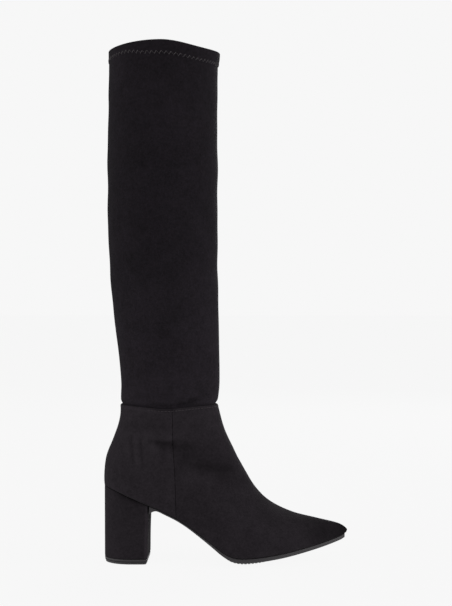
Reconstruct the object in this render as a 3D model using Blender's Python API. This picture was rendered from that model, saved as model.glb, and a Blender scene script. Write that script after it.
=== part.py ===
"""A right-foot knee boot: pointed toe, covered block heel, stretch shaft and a half-length inner zip.

Metres, +Z up. The toe points to +X, the outer side of the leg to -Y and the inner side, with its
zip, to +Y. Lengths along the foot count from the back of the heel. The last step moves the boot so
that its origin lies in the middle of its bounding box, on the floor.
"""

import math

import bmesh
import bpy
from mathutils import Matrix, Vector

GAP = 0.0003  # between pieces that touch
SEAT_GAP = 0.0005  # on the curved seat, whose facets stand a little off it

# Foot: walls, and what is turned in underneath
UPPER_WALL = 0.0016
INSOLE_THICKNESS = 0.0020
INSOLE_INSET = 0.0034
INSOLE_TOE_INSET = 0.0064
ANKLE_HALF_WIDTH = 0.0332
ANKLE_SPREADS_FROM = 0.150  # ahead of this the foot keeps the width of its sole
ANKLE_SPREADS_BY = 0.100
ANKLE_SPREAD_POWER = 1.6  # how fast, going up, the ankle's own width takes over
SAG_POWER = 2.0  # how fast, going up, the rings leave the curve of the sole
WALL_STARTS = 0.012  # level of the lowest ring, clear of the turned edge
FOOT_RING_COUNT = 15
FOOT_AROUND = 60

# Sole and heel
SOLE_SETBACK = 0.0012
SOLE_START = 0.0446
SOLE_END = 0.2304
LIP_LENGTH = 0.0046  # the sole's end, turned down the breast of the heel
LIP_DROP = 0.0056
HEEL_BACK_ROUND = 0.0250
HEEL_CORNER_ROUND = 0.0035
HEEL_BREAST_SHARE = 0.86  # width of the flat breast over the heel's full width
LIFT_THICKNESS = 0.0048

# Shaft
SHAFT_WALL = 0.0012
HEM_WALL = 0.0018
HEM_HEIGHT = 0.0120
COLLAR_HEIGHT = 0.4850
COLLAR_ARCH = 0.00525  # how much higher the rim is at its two sides
COLLAR_FRONT_POWER = 6  # how fast the arch falls off towards the front
COLLAR_BACK_POWER = 2
COLLAR_DIP = 0.00125  # how much lower it is at the front than at the back
ARCH_STARTS = 0.4300
ANKLE_SEAM = 0.1495
SHAFT_SHOWS_FROM = 0.1530
SHAFT_AROUND = 44

# Zip
CHAIN_WIDTH = 0.0058
CHAIN_THICKNESS = 0.0014
CHAIN_BOTTOM = 0.0470
CHAIN_STEPS = 26
SLOT_REACH = 0.0045  # how far the slot's cutter stands in and out of the wall
SLIDER_HEIGHT = 0.2060  # above the floor, and where the chain and its slot end
SLIDER_LENGTH = 0.0125
SLIDER_WIDTH = 0.0076
SLIDER_NARROWS = 0.78  # width at the slider's lower end over its full width
SLIDER_THICKNESS = 0.0013
SLIDER_CORNER = 0.0016
SLIDER_EDGE = 0.0003
SLIDER_BASE = 0.0004  # its underside above the leg
BRIDGE_INNER = 0.00135
BRIDGE_OUTER = 0.00235
BRIDGE_HALF_WIDTH = 0.0008
BRIDGE_STEPS = 12
PIVOT_OUT = SLIDER_BASE + SLIDER_THICKNESS + BRIDGE_INNER
PULL_THICKNESS = 0.0014
PULL_EDGE = 0.0002
PULL_LENGTH = 0.0155

# The upper's edge where it meets the sole, seen from above
PLAN = (
    # along, outer side, inner side
    (0.000, -0.0238, 0.0238),
    (0.020, -0.0262, 0.0256),
    (0.040, -0.0266, 0.0250),
    (0.060, -0.0256, 0.0226),
    (0.080, -0.0268, 0.0210),
    (0.100, -0.0318, 0.0242),
    (0.118, -0.0372, 0.0310),
    (0.135, -0.0396, 0.0366),
    (0.150, -0.0386, 0.0392),
    (0.165, -0.0340, 0.0386),
    (0.180, -0.0270, 0.0352),
    (0.195, -0.0186, 0.0300),
    (0.210, -0.0092, 0.0244),
    (0.222, -0.0010, 0.0194),
    (0.232, 0.0052, 0.0156),
)

# How the upper's lower edge turns in under the insole
LASTING_TURN = (
    # inset of the ring, inset at the toe
    (0.0095, 0.0160),
    (0.0035, 0.0040),
    (0.0006, 0.0006),
)

# Side view of the sole at its edge, and of the heel seat behind it
SEAT = (
    # along, height of the top edge, thickness, how far the middle lies below the edge
    (0.0000, 0.0726, 0.0018, 0.0008),
    (0.0120, 0.0688, 0.0018, 0.0008),
    (0.0250, 0.0636, 0.0018, 0.0008),
    (0.0440, 0.0553, 0.0018, 0.0008),
    (0.0520, 0.0521, 0.0018, 0.0008),
    (0.0600, 0.0482, 0.0018, 0.0010),
    (0.0700, 0.0432, 0.0018, 0.0010),
    (0.0800, 0.0372, 0.0020, 0.0012),
    (0.0913, 0.0294, 0.0023, 0.0014),
    (0.1042, 0.0203, 0.0029, 0.0026),
    (0.1128, 0.0141, 0.0033, 0.0036),
    (0.1213, 0.0099, 0.0037, 0.0054),
    (0.1300, 0.0084, 0.0038, 0.0061),
    (0.1420, 0.0089, 0.0038, 0.0064),
    (0.1550, 0.0099, 0.0038, 0.0052),
    (0.1720, 0.0117, 0.0038, 0.0036),
    (0.1900, 0.0146, 0.0037, 0.0028),
    (0.2070, 0.0179, 0.0036, 0.0022),
    (0.2210, 0.0213, 0.0035, 0.0016),
    (0.2320, 0.0246, 0.0034, 0.0010),
)

# Rings round the foot, from its edge at the sole (0) to the ankle seam (1)
FOOT_RINGS = (
    # up, back along, back height, front along, front height, rounding at the back, at the front
    (0.0, 0.0003, 0.0726, 0.2320, 0.0251, 0.026, 0.008),
    (0.1, 0.0000, 0.0780, 0.2322, 0.0284, 0.028, 0.025),
    (0.2, 0.0002, 0.0850, 0.2240, 0.0338, 0.030, 0.075),
    (0.3, 0.0009, 0.0930, 0.2035, 0.0392, 0.032, 0.108),
    (0.4, 0.0022, 0.1000, 0.1810, 0.0450, 0.034, 0.110),
    (0.5, 0.0044, 0.1065, 0.1604, 0.0550, 0.036, 0.100),
    (0.6, 0.0072, 0.1130, 0.1451, 0.0692, 0.038, 0.090),
    (0.7, 0.0103, 0.1210, 0.1336, 0.0878, 0.040, 0.077),
    (0.8, 0.0134, 0.1300, 0.1234, 0.1073, 0.042, 0.065),
    (0.9, 0.0154, 0.1395, 0.1146, 0.1265, 0.044, 0.055),
    (1.0, 0.0157, 0.1495, 0.1083, 0.1495, 0.0463, 0.0463),
)

# The covered heel and its lift, seen in level slices
HEEL = (
    # up, back, breast, half width
    (0.0, 0.0007, 0.0428, 0.0240),
    (0.5, 0.0006, 0.0431, 0.0244),
    (1.0, 0.0005, 0.0441, 0.0256),
)
LIFT = (
    # up, back, breast, half width
    (0.0, 0.0017, 0.0417, 0.0233),
    (0.35, 0.0011, 0.0424, 0.0239),
    (1.0, 0.0008, 0.0427, 0.0240),
)

# The shaft in level slices, from the edge tucked into the foot up to the hem
SHAFT = (
    # height, back, front, half width
    (0.1415, 0.0183, 0.1076, 0.0310),
    (0.1490, 0.0180, 0.1060, 0.0308),
    (0.1506, 0.0174, 0.1066, 0.0312),
    (0.1530, 0.0162, 0.1082, 0.0326),
    (0.1580, 0.0160, 0.1092, 0.0338),
    (0.1680, 0.0163, 0.1101, 0.0350),
    (0.1820, 0.0154, 0.1102, 0.0363),
    (0.1990, 0.0137, 0.1099, 0.0380),
    (0.2180, 0.0112, 0.1096, 0.0402),
    (0.2380, 0.0088, 0.1093, 0.0425),
    (0.2770, 0.0052, 0.1090, 0.0460),
    (0.3210, 0.0031, 0.1086, 0.0485),
    (0.3860, 0.0029, 0.1088, 0.0495),
    (0.4400, 0.0039, 0.1085, 0.0492),
    (0.4722, 0.0048, 0.1085, 0.0490),
    (0.4730, 0.0043, 0.1091, 0.0496),
    (0.4790, 0.0043, 0.1102, 0.0495),
    (0.4850, 0.0042, 0.1107, 0.0493),
)

# The line of the zip on the inner side of the leg
ZIP_LINE = (
    # height, along
    (0.0400, 0.0912),
    (0.0470, 0.0880),
    (0.0685, 0.0800),
    (0.0900, 0.0740),
    (0.1120, 0.0690),
    (0.1336, 0.0660),
    (0.1490, 0.0650),
    (0.1646, 0.0640),
    (0.1800, 0.0614),
    (0.1970, 0.0583),
    (0.2160, 0.0548),
)

# Half of the pull's outline and of its two holes, hanging down from the pivot
PULL_OUTLINE = (
    # below the pivot, half width
    (-0.0008, 0.0016),
    (-0.0003, 0.0023),
    (0.0030, 0.0024),
    (0.0055, 0.0034),
    (0.0085, 0.0050),
    (0.0115, 0.0055),
    (0.0137, 0.0045),
    (0.0150, 0.0026),
    (PULL_LENGTH, 0.0008),
)
PULL_HOLE = (
    # below the pivot, half width
    (0.0050, 0.0005),
    (0.0058, 0.0010),
    (0.0084, 0.0014),
    (0.0112, 0.0015),
    (0.0122, 0.0011),
    (0.0127, 0.0005),
)
PULL_WINDOW = (
    # below the pivot, half width
    (0.0008, 0.0011),
    (0.0028, 0.0011),
)


# ---------------------------------------------------------------- tables and shared shapes

def slope(rows, i, column):
    """Slope of a table's column at one of its rows, from the rows on either side."""
    before, after = rows[max(i - 1, 0)], rows[min(i + 1, len(rows) - 1)]
    return (after[column] - before[column]) / (after[0] - before[0])


def smooth(rows, at, column):
    """A column's value between two rows, on a smooth curve through all of them."""
    at = min(max(at, rows[0][0]), rows[-1][0])
    i = next(i for i in range(len(rows) - 1) if at <= rows[i + 1][0])
    span = rows[i + 1][0] - rows[i][0]
    t = (at - rows[i][0]) / span
    start, end = rows[i][column], rows[i + 1][column]
    rise = (1 - t) * slope(rows, i, column) - t * slope(rows, i + 1, column)
    turn = (1 - 2 * t) * (end - start) / span
    return start + (end - start) * t + t * (1 - t) * span * (rise - turn)


def mix(a, b, t):
    return a + (b - a) * t


def round_end(distance, length):
    """From 0 at the end of an outline to 1 a length further in, as a quarter ellipse."""
    q = min(max(distance / length, 0), 1)
    return math.sqrt(1 - (1 - q) ** 2)


def eased(i, count):
    """Even steps from 0 to 1, drawn together at both ends as round ends need."""
    return (1 - math.cos(math.pi * i / count)) / 2


def link(name, mesh, material):
    obj = bpy.data.objects.new(name, mesh)
    bpy.context.scene.collection.objects.link(obj)
    mesh.materials.append(material)
    return obj


def finish_mesh(name, bm, material, sharp_angle=40):
    """One closed, outward-facing, smooth-shaded object from a bmesh."""
    bmesh.ops.remove_doubles(bm, verts=bm.verts, dist=1e-7)
    bmesh.ops.recalc_face_normals(bm, faces=bm.faces)
    mesh = bpy.data.meshes.new(name)
    bm.to_mesh(mesh)
    bm.free()
    mesh.shade_smooth()
    mesh.set_sharp_from_angle(angle=math.radians(sharp_angle))
    return link(name, mesh, material)


def block(name, steps, place, material):
    """A box of steps (along, across, up) whose every point is put where place(s, u, t) says.

    s and t run from 0 to 1, and u from -1 to 1.
    """
    bm = bmesh.new()
    along, across, up = steps
    points = {}

    def point(i, j, k):
        if (i, j, k) not in points:
            points[i, j, k] = bm.verts.new(place(eased(i, along), 2 * j / across - 1, k / up))
        return points[i, j, k]

    def skin(corner, first, second, size):
        for a in range(size[0]):
            for b in range(size[1]):
                square = ((a, b), (a + 1, b), (a + 1, b + 1), (a, b + 1))
                bm.faces.new([
                    point(*(corner[n] + first[n] * p + second[n] * q for n in range(3)))
                    for p, q in square
                ])

    for k in (0, up):
        skin((0, 0, k), (1, 0, 0), (0, 1, 0), (along, across))
    for j in (0, across):
        skin((0, j, 0), (1, 0, 0), (0, 0, 1), (along, up))
    for i in (0, along):
        skin((i, 0, 0), (0, 1, 0), (0, 0, 1), (across, up))
    return finish_mesh(name, bm, material)


def sheet(rings, joined):
    """A bmesh of quads between rings of as many points; joined closes the last ring to the first."""
    bm = bmesh.new()
    rows = [[bm.verts.new(point) for point in ring] for ring in rings]
    pairs = list(zip(rows, rows[1:] + rows[:1])) if joined else list(zip(rows, rows[1:]))
    for low, high in pairs:
        for i in range(len(low)):
            j = (i + 1) % len(low)
            bm.faces.new((low[i], low[j], high[j], high[i]))
    return bm


def cut(obj, cutter, operation="DIFFERENCE"):
    """A Boolean on flat triangles, which leaves no slivers where twisted quads would."""
    for piece in (obj, cutter):
        piece.modifiers.new("flat_faces", "TRIANGULATE")
    modifier = obj.modifiers.new(cutter.name, "BOOLEAN")
    modifier.operation = operation
    modifier.object = cutter
    cutter.hide_render = True
    cutter.display_type = "WIRE"


def material(name, colour, roughness, metallic=0.0):
    made = bpy.data.materials.new(name)
    made.use_nodes = True
    shader = made.node_tree.nodes["Principled BSDF"]
    shader.inputs["Base Color"].default_value = (*colour, 1)
    shader.inputs["Roughness"].default_value = roughness
    shader.inputs["Metallic"].default_value = metallic
    return made


# ---------------------------------------------------------------- the last: plan, seat and rings

def plan_centre(x):
    return (smooth(PLAN, x, 1) + smooth(PLAN, x, 2)) / 2


def plan_half_width(x):
    return (smooth(PLAN, x, 2) - smooth(PLAN, x, 1)) / 2


def plan_rounding(x, back=0.0, front=PLAN[-1][0]):
    heel_round, toe_round = FOOT_RINGS[0][5:]
    return round_end(x - back, heel_round) * round_end(front - x, toe_round)


def seat_height(x, y):
    """Top of the sole, or of the heel behind it: highest at its edge, lower in the middle."""
    off_centre = (y - plan_centre(x)) / plan_half_width(x)
    inside = max(plan_rounding(x) ** 2 - off_centre ** 2, 0)
    return smooth(SEAT, x, 1) - smooth(SEAT, x, 3) * inside


def off_seat(x, y, distance):
    """A point this far off the seat, square to its slope from heel to toe."""
    step = 0.001
    slope_angle = math.atan2(seat_height(x + step, y) - seat_height(x - step, y), 2 * step)
    ahead, up = -math.sin(slope_angle), math.cos(slope_angle)
    return x + distance * ahead, y, seat_height(x, y) + distance * up


def inset_edge(s, side, inset, toe_inset):
    """A point of the plan outline drawn in: s along it, side -1 outer, 1 inner, 0 on the centre."""
    back, front = inset, PLAN[-1][0] - toe_inset
    x = mix(back, front, s)
    half = max(plan_half_width(x) - inset, 0.001) * plan_rounding(x, back, front)
    return x, plan_centre(x) + side * half


def foot_sides(x, up, back, front):
    """Middle and half width of the ring at this level, where it passes this place along the foot."""
    ankle = min(max((ANKLE_SPREADS_FROM - x) / (ANKLE_SPREADS_FROM - ANKLE_SPREADS_BY), 0), 1)
    ankle *= 1 - (1 - up) ** ANKLE_SPREAD_POWER
    half = mix(plan_half_width(x), ANKLE_HALF_WIDTH, ankle)
    half *= round_end(x - back, smooth(FOOT_RINGS, up, 5))
    half *= round_end(front - x, smooth(FOOT_RINGS, up, 6))
    return mix(plan_centre(x), 0, ankle), half


def foot_side_point(s, up):
    """Where a ring passes in the side view, s of the way from its back to its front."""
    back, front = smooth(FOOT_RINGS, up, 1), smooth(FOOT_RINGS, up, 3)
    chord = mix(smooth(FOOT_RINGS, up, 2), smooth(FOOT_RINGS, up, 4), s)
    sole_x = mix(FOOT_RINGS[0][1], FOOT_RINGS[0][3], s)
    sole_chord = mix(FOOT_RINGS[0][2], FOOT_RINGS[0][4], s)
    sag = smooth(SEAT, sole_x, 1) + SEAT_GAP - sole_chord
    return mix(back, front, s), chord + sag * (1 - up) ** SAG_POWER


def foot_point(angle, up):
    """A point of the foot's outer face, angle 0 at the heel and pi at the toe, outer side first."""
    x, z = foot_side_point((1 - math.cos(angle)) / 2, up)
    middle, half = foot_sides(x, up, smooth(FOOT_RINGS, up, 1), smooth(FOOT_RINGS, up, 3))
    side = -1 if angle < math.pi else 1
    return Vector((x, middle + side * half, z))


def foot_inner_side(x, z):
    """How far out the foot's inner side is, by halving the levels that pass above and below."""
    low, high = 0.0, 1.0
    for _ in range(24):
        up = (low + high) / 2
        back, front = smooth(FOOT_RINGS, up, 1), smooth(FOOT_RINGS, up, 3)
        if foot_side_point((x - back) / (front - back), up)[1] < z:
            low = up
        else:
            high = up
    return sum(foot_sides(x, up, back, front))


# ---------------------------------------------------------------- sole, heel and insole

def make_outsole(rubber):
    def place(s, u, t):
        x = mix(SOLE_START, SOLE_END, s)
        half = plan_half_width(x) - SOLE_SETBACK
        half *= plan_rounding(x, -1.0, SOLE_END)
        y = plan_centre(x) + u * half
        top = seat_height(x, y)
        lip = max(1 - (x - SOLE_START) / LIP_LENGTH, 0)
        bottom = max(top - smooth(SEAT, x, 2) - LIP_DROP * lip ** 2, 0)
        return x, y, mix(bottom, top, t)

    return block("outsole", (36, 8, 1), place, rubber)


def heel_slice(rows, s, u, t):
    """A point of a heel slice: s from back to breast, u across, t up."""
    back, breast, half = (smooth(rows, t, column) for column in (1, 2, 3))
    x = mix(back, breast, s)
    half *= round_end(x - back, HEEL_BACK_ROUND)
    half *= mix(HEEL_BREAST_SHARE, 1, round_end(breast - x, HEEL_CORNER_ROUND))
    return x, u * half


def make_heel_block(suede):
    bottom = LIFT_THICKNESS + GAP

    def place(s, u, t):
        x, y = heel_slice(HEEL, s, u, t)
        return x, y, mix(bottom, seat_height(x, y), t)

    return block("heel_block", (14, 8, 5), place, suede)


def make_heel_lift(rubber):
    def place(s, u, t):
        x, y = heel_slice(LIFT, s, u, t)
        return x, y, t * LIFT_THICKNESS

    return block("heel_lift", (14, 6, 3), place, rubber)


def make_insole(board):
    def place(s, u, t):
        x, y = inset_edge(s, u, INSOLE_INSET, INSOLE_TOE_INSET)
        return off_seat(x, y, UPPER_WALL + 2 * SEAT_GAP + t * INSOLE_THICKNESS)

    return block("insole", (26, 4, 1), place, board)


# ---------------------------------------------------------------- upper and shaft

def make_foot_upper(suede):
    """The foot's wall, turned in under the insole, open at the ankle and open underneath."""
    angles = [2 * math.pi * i / FOOT_AROUND for i in range(FOOT_AROUND)]

    def margin(inset, toe_inset):
        ring = []
        for angle in angles:
            side = -1 if angle < math.pi else 1
            x, y = inset_edge((1 - math.cos(angle)) / 2, side, inset, toe_inset)
            ring.append(off_seat(x, y, SEAT_GAP))
        return ring

    rings = [margin(*insets) for insets in LASTING_TURN]
    for i in range(FOOT_RING_COUNT + 1):
        up = mix(WALL_STARTS, 1, i / FOOT_RING_COUNT)
        rings.append([foot_point(angle, up) for angle in angles])
    upper = finish_mesh("foot_upper", sheet(rings, joined=False), suede)
    wall = upper.modifiers.new("wall", "SOLIDIFY")
    wall.thickness = UPPER_WALL
    wall.offset = -1
    wall.use_even_offset = True
    return upper


def shaft_ring(row, inwards):
    height, back, front, half = row
    middle, reach = (back + front) / 2, (front - back) / 2 - inwards
    arch = min(max((height - ARCH_STARTS) / (COLLAR_HEIGHT - HEM_HEIGHT - ARCH_STARTS), 0), 1)
    ring = []
    for i in range(SHAFT_AROUND):
        angle = 2 * math.pi * i / SHAFT_AROUND
        forward = max(-math.cos(angle), 0)
        power = COLLAR_FRONT_POWER if forward else COLLAR_BACK_POWER
        rim = COLLAR_ARCH * math.sin(angle) ** power - COLLAR_DIP * forward
        x = middle - reach * math.cos(angle)
        y = -(half - inwards) * math.sin(angle)
        ring.append((x, y, height + rim * arch ** 2))
    return ring


def shaft_inner_side(x, z):
    back, front, half = (smooth(SHAFT, z, column) for column in (1, 2, 3))
    off_middle = (2 * x - back - front) / (front - back)
    return half * math.sqrt(1 - off_middle ** 2)


def make_shaft(cloth):
    """A stretch tube whose folded hem is a step in its wall."""
    hem = COLLAR_HEIGHT - HEM_HEIGHT
    outer = [shaft_ring(row, 0) for row in SHAFT]
    inner = [shaft_ring(row, SHAFT_WALL if row[0] < hem else HEM_WALL) for row in SHAFT]
    return finish_mesh("shaft", sheet(outer + inner[::-1], joined=True), cloth)


# ---------------------------------------------------------------- zip

def leg_inner_side(x, z):
    """The leg's inner side at this height, evened out where the shaft tucks into the foot."""
    heights = [z + step * 0.002 for step in range(-3, 4)]
    sides = [
        foot_inner_side(x, h)
        if h < ANKLE_SEAM
        else shaft_inner_side(x, max(h, SHAFT_SHOWS_FROM))
        for h in heights
    ]
    return sum(sides) / len(sides)


def zip_frame(z):
    """Point on the leg at this height of the zip, with the ways across it, up it and out."""
    step = 0.001

    def on_leg(x, height):
        return Vector((x, leg_inner_side(x, height), height))

    here = on_leg(smooth(ZIP_LINE, z, 1), z)
    up = on_leg(smooth(ZIP_LINE, z + step, 1), z + step)
    up = (up - on_leg(smooth(ZIP_LINE, z - step, 1), z - step)).normalized()
    ahead = on_leg(here.x + step, z) - on_leg(here.x - step, z)
    out = up.cross(ahead).normalized()
    if out.y < 0:
        out = -out
    return here, out.cross(up).normalized(), up, out


def zip_strip(name, bottom, top, width, inner, outer, surface):
    frames = {}

    def place(s, u, t):
        if s not in frames:
            frames[s] = zip_frame(mix(bottom, top, s))
        here, across, _, out = frames[s]
        return here + across * (u * width / 2) + out * mix(inner, outer, t)

    return block(name, (CHAIN_STEPS, 1, 1), place, surface)


def make_zip_chain(nylon):
    ends = CHAIN_BOTTOM, SLIDER_HEIGHT
    return zip_strip("zip_chain", *ends, CHAIN_WIDTH, -CHAIN_THICKNESS, 0, nylon)


def cut_zip_slot(pieces, nylon):
    ends = CHAIN_BOTTOM - GAP, SLIDER_HEIGHT + GAP
    width = CHAIN_WIDTH + 2 * GAP
    slot = zip_strip("slot_cutter", *ends, width, -SLOT_REACH, SLOT_REACH, nylon)
    for piece in pieces:
        cut(piece, slot)


def frame_matrix(here, across, up, out):
    return Matrix.Translation(here) @ Matrix((across, up, out)).transposed().to_4x4()


def make_zip_slider(metal):
    """The slider's plate, with the bridge that the pull turns in. Local X across, Y up, Z out."""
    frame = frame_matrix(*zip_frame(SLIDER_HEIGHT))
    top = SLIDER_BASE + SLIDER_THICKNESS
    bm = bmesh.new()
    bmesh.ops.create_cube(bm, size=1)
    bmesh.ops.scale(bm, verts=bm.verts, vec=(SLIDER_WIDTH, SLIDER_LENGTH, SLIDER_THICKNESS))
    bmesh.ops.translate(bm, verts=bm.verts, vec=(0, 0, top - SLIDER_THICKNESS / 2))
    for vert in bm.verts:
        if vert.co.y < 0:
            vert.co.x *= SLIDER_NARROWS
    upright = [e for e in bm.edges if e.verts[0].co.xy == e.verts[1].co.xy]
    round_off = {"segments": 4, "profile": 0.5, "affect": "EDGES"}
    bmesh.ops.bevel(bm, geom=upright, offset=SLIDER_CORNER, **round_off)
    rim = [e for e in bm.edges if min(v.co.z for v in e.verts) > SLIDER_BASE + SLIDER_THICKNESS / 2]
    bmesh.ops.bevel(bm, geom=rim, offset=SLIDER_EDGE, **{**round_off, "segments": 2})
    slider = finish_mesh("zip_slider", bm, metal)
    slider.matrix_world = frame
    cut(slider, make_bridge(metal, frame), "UNION")
    return slider


def make_bridge(metal, frame):
    """The slider's bridge: a half ring round the pivot on two legs, which sink into the plate."""
    arcs = []
    for radius in (BRIDGE_INNER, BRIDGE_OUTER):
        angles = [math.pi * i / BRIDGE_STEPS for i in range(BRIDGE_STEPS + 1)]
        arcs.append([(radius * math.cos(a), PIVOT_OUT + radius * math.sin(a)) for a in angles])
    root = SLIDER_BASE + SLIDER_THICKNESS / 2
    outline = [(BRIDGE_INNER, root), (BRIDGE_OUTER, root), *arcs[1]]
    outline += [(-BRIDGE_OUTER, root), (-BRIDGE_INNER, root), *arcs[0][::-1]]
    bm = bmesh.new()
    face = bm.faces.new([bm.verts.new((-BRIDGE_HALF_WIDTH, y, z)) for y, z in outline])
    pushed = bmesh.ops.extrude_face_region(bm, geom=[face])["geom"]
    moved = [item for item in pushed if isinstance(item, bmesh.types.BMVert)]
    bmesh.ops.translate(bm, verts=moved, vec=(2 * BRIDGE_HALF_WIDTH, 0, 0))
    bridge = finish_mesh("bridge_helper", bm, metal)
    bridge.matrix_world = frame
    return bridge


def make_zip_pull(metal):
    """A flat drop-shaped pull. Its origin is its pivot, and it hangs down local -Y."""
    here, across, up, out = zip_frame(SLIDER_HEIGHT)
    curve = bpy.data.curves.new("zip_pull", "CURVE")
    curve.dimensions = "2D"
    curve.fill_mode = "BOTH"
    curve.extrude = PULL_THICKNESS / 2 - PULL_EDGE
    curve.bevel_depth = PULL_EDGE
    curve.bevel_resolution = 1
    # the bevel puts material on every edge, so the outline shrinks by it and the holes grow
    for half, grow in ((PULL_OUTLINE, -1), (PULL_HOLE, 1), (PULL_WINDOW, 1)):
        points = [(width, -below) for below, width in half]
        points += [(-x, y) for x, y in reversed(points)]
        spline = curve.splines.new("POLY")
        spline.points.add(len(points) - 1)
        middle = sum(y for _, y in points) / len(points)
        for point, (x, y) in zip(spline.points, points):
            wider, longer = math.copysign(1, x), math.copysign(1, y - middle)
            point.co = (x + wider * grow * PULL_EDGE, y + longer * grow * PULL_EDGE, 0, 1)
        spline.use_cyclic_u = True
    pull = link("zip_pull", curve, metal)
    pull.matrix_world = frame_matrix(here + out * PIVOT_OUT, across, up, out)
    return pull


# ---------------------------------------------------------------- the boot

def stand_on_origin(pieces):
    """Moves every piece so that the bounding box's bottom centre is the origin."""
    bpy.context.view_layer.update()
    graph = bpy.context.evaluated_depsgraph_get()
    corners = []
    for piece in pieces:
        if piece.hide_render:
            continue
        shown = piece.evaluated_get(graph)
        mesh = shown.to_mesh()
        corners += [shown.matrix_world @ vert.co for vert in mesh.vertices]
        shown.to_mesh_clear()
    low = Vector([min(c[n] for c in corners) for n in range(3)])
    high = Vector([max(c[n] for c in corners) for n in range(3)])
    shift = Vector(((low.x + high.x) / 2, (low.y + high.y) / 2, low.z))
    for piece in pieces:
        piece.location -= shift


def main():
    for old in list(bpy.data.objects):
        bpy.data.objects.remove(old)
    suede = material("black_faux_suede", (0.018, 0.0155, 0.0165), 0.92)
    cloth = material("black_stretch_suede", (0.0115, 0.0105, 0.011), 0.94)
    rubber = material("dark_grey_rubber", (0.045, 0.043, 0.043), 0.6)
    board = material("black_insole_cloth", (0.02, 0.02, 0.02), 0.85)
    nylon = material("black_nylon_coil", (0.03, 0.03, 0.03), 0.5)
    metal = material("gloss_black_metal", (0.012, 0.012, 0.013), 0.18, 0.6)

    make_outsole(rubber)
    make_heel_block(suede)
    make_heel_lift(rubber)
    make_insole(board)
    upper = make_foot_upper(suede)
    shaft = make_shaft(cloth)
    make_zip_chain(nylon)
    cut_zip_slot((upper, shaft), nylon)
    make_zip_slider(metal)
    make_zip_pull(metal)
    stand_on_origin(list(bpy.data.objects))


main()
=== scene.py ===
"""Looks of a right-foot knee boot: pointed toe, covered block heel, stretch shaft, half-length inner zip.

Metres, +Z up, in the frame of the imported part. The toe points to +X, the outer side of the leg to -Y
and the inner side, with its zip, to +Y. Lengths along the foot count from the back of the heel.
"""

import math

import bmesh
import bpy
import numpy as np
from mathutils import Matrix, Vector


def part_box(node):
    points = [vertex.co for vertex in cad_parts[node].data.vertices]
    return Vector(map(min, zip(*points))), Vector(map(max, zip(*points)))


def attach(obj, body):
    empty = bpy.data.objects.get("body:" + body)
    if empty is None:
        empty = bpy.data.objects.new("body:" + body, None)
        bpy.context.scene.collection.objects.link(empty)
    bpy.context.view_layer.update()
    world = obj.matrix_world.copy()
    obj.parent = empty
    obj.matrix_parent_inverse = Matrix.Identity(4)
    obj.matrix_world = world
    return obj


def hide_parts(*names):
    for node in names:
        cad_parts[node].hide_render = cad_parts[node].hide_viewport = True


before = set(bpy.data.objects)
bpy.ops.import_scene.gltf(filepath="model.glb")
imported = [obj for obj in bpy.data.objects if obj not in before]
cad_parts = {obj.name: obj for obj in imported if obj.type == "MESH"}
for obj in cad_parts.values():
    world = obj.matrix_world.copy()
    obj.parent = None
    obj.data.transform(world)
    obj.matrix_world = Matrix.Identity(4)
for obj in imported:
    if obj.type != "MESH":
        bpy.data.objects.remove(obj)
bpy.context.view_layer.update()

bpy.context.scene.view_settings.view_transform = "Standard"


# ---------------------------------------------------------------- insole
# A board of pressed fibre in a black polyester sock lining, cut to the last and glued in. It lies
# on the upper's turned-in edge, and shows only from above, down the shaft.

INSOLE_EDGE_ROUND = 0.0006
INSOLE_RIM_ANGLE = 50  # faces that meet at more than this, in degrees, meet at the insole's rim
LINING_YARN = 0.0009  # knitted loops are 0.4 mm in the real cloth, drawn coarser so that they show


def linear(hex_colour):
    """An sRGB hex colour as the four linear numbers of a colour socket."""
    shown = [int(hex_colour[i:i + 2], 16) / 255 for i in (1, 3, 5)]
    return [c / 12.92 if c <= 0.04045 else ((c + 0.055) / 1.055) ** 2.4 for c in shown] + [1.0]


def feed(node, inputs):
    """Sets a node's inputs, each to a value or to another node's output."""
    for socket, value in inputs.items():
        if isinstance(value, bpy.types.NodeSocket):
            node.id_data.links.new(value, node.inputs[socket])
        else:
            node.inputs[socket].default_value = value


def add_node(tree, kind, inputs=None, **settings):
    """A new node with its settings and inputs."""
    made = tree.nodes.new("ShaderNode" + kind)
    for name, value in settings.items():
        setattr(made, name, value)
    feed(made, inputs or {})
    return made


def new_material(name, **sockets):
    """A Principled material with these constant values, its node tree and its shader."""
    made = bpy.data.materials.new(name)
    made.use_nodes = True
    shader = made.node_tree.nodes["Principled BSDF"]
    for socket, value in sockets.items():
        shader.inputs[socket.replace("_", " ")].default_value = value
    return made, made.node_tree, shader


def knitted_lining(name, yarn, dark, light):
    """Polyester tricot, circular knitted and piece dyed: matt, with rows of small loops."""
    made, tree, shader = new_material(name, Roughness=0.9, Specular_IOR_Level=0.2)
    place = add_node(tree, "TexCoord").outputs["Object"]
    wales, courses = (
        add_node(tree, "TexWave", {"Vector": place, "Scale": 0.5 / yarn, "Distortion": 1.5,
                                   "Detail": 1.0}, bands_direction=way).outputs["Fac"]
        for way in "XZ")
    loops = add_node(tree, "Math", {0: wales, 1: courses}, operation="MULTIPLY").outputs[0]
    colour = add_node(tree, "Mix", {0: loops, 6: linear(dark), 7: linear(light)}, data_type="RGBA")
    bump = add_node(tree, "Bump", {"Height": loops, "Strength": 0.5, "Distance": 0.0002})
    feed(shader, {"Base Color": colour.outputs[2], "Normal": bump.outputs["Normal"]})
    return made


def link_piece(name, mesh, *materials):
    """A new object at the origin, with its materials in this order."""
    piece = bpy.data.objects.new(name, mesh)
    bpy.context.scene.collection.objects.link(piece)
    for surface in materials:
        mesh.materials.append(surface)
    return piece


def face_outwards(bm):
    """Turns every face of a closed solid outwards."""
    bmesh.ops.recalc_face_normals(bm, faces=bm.faces)
    if bm.calc_volume(signed=True) < 0:
        bmesh.ops.reverse_faces(bm, faces=bm.faces)


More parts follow.
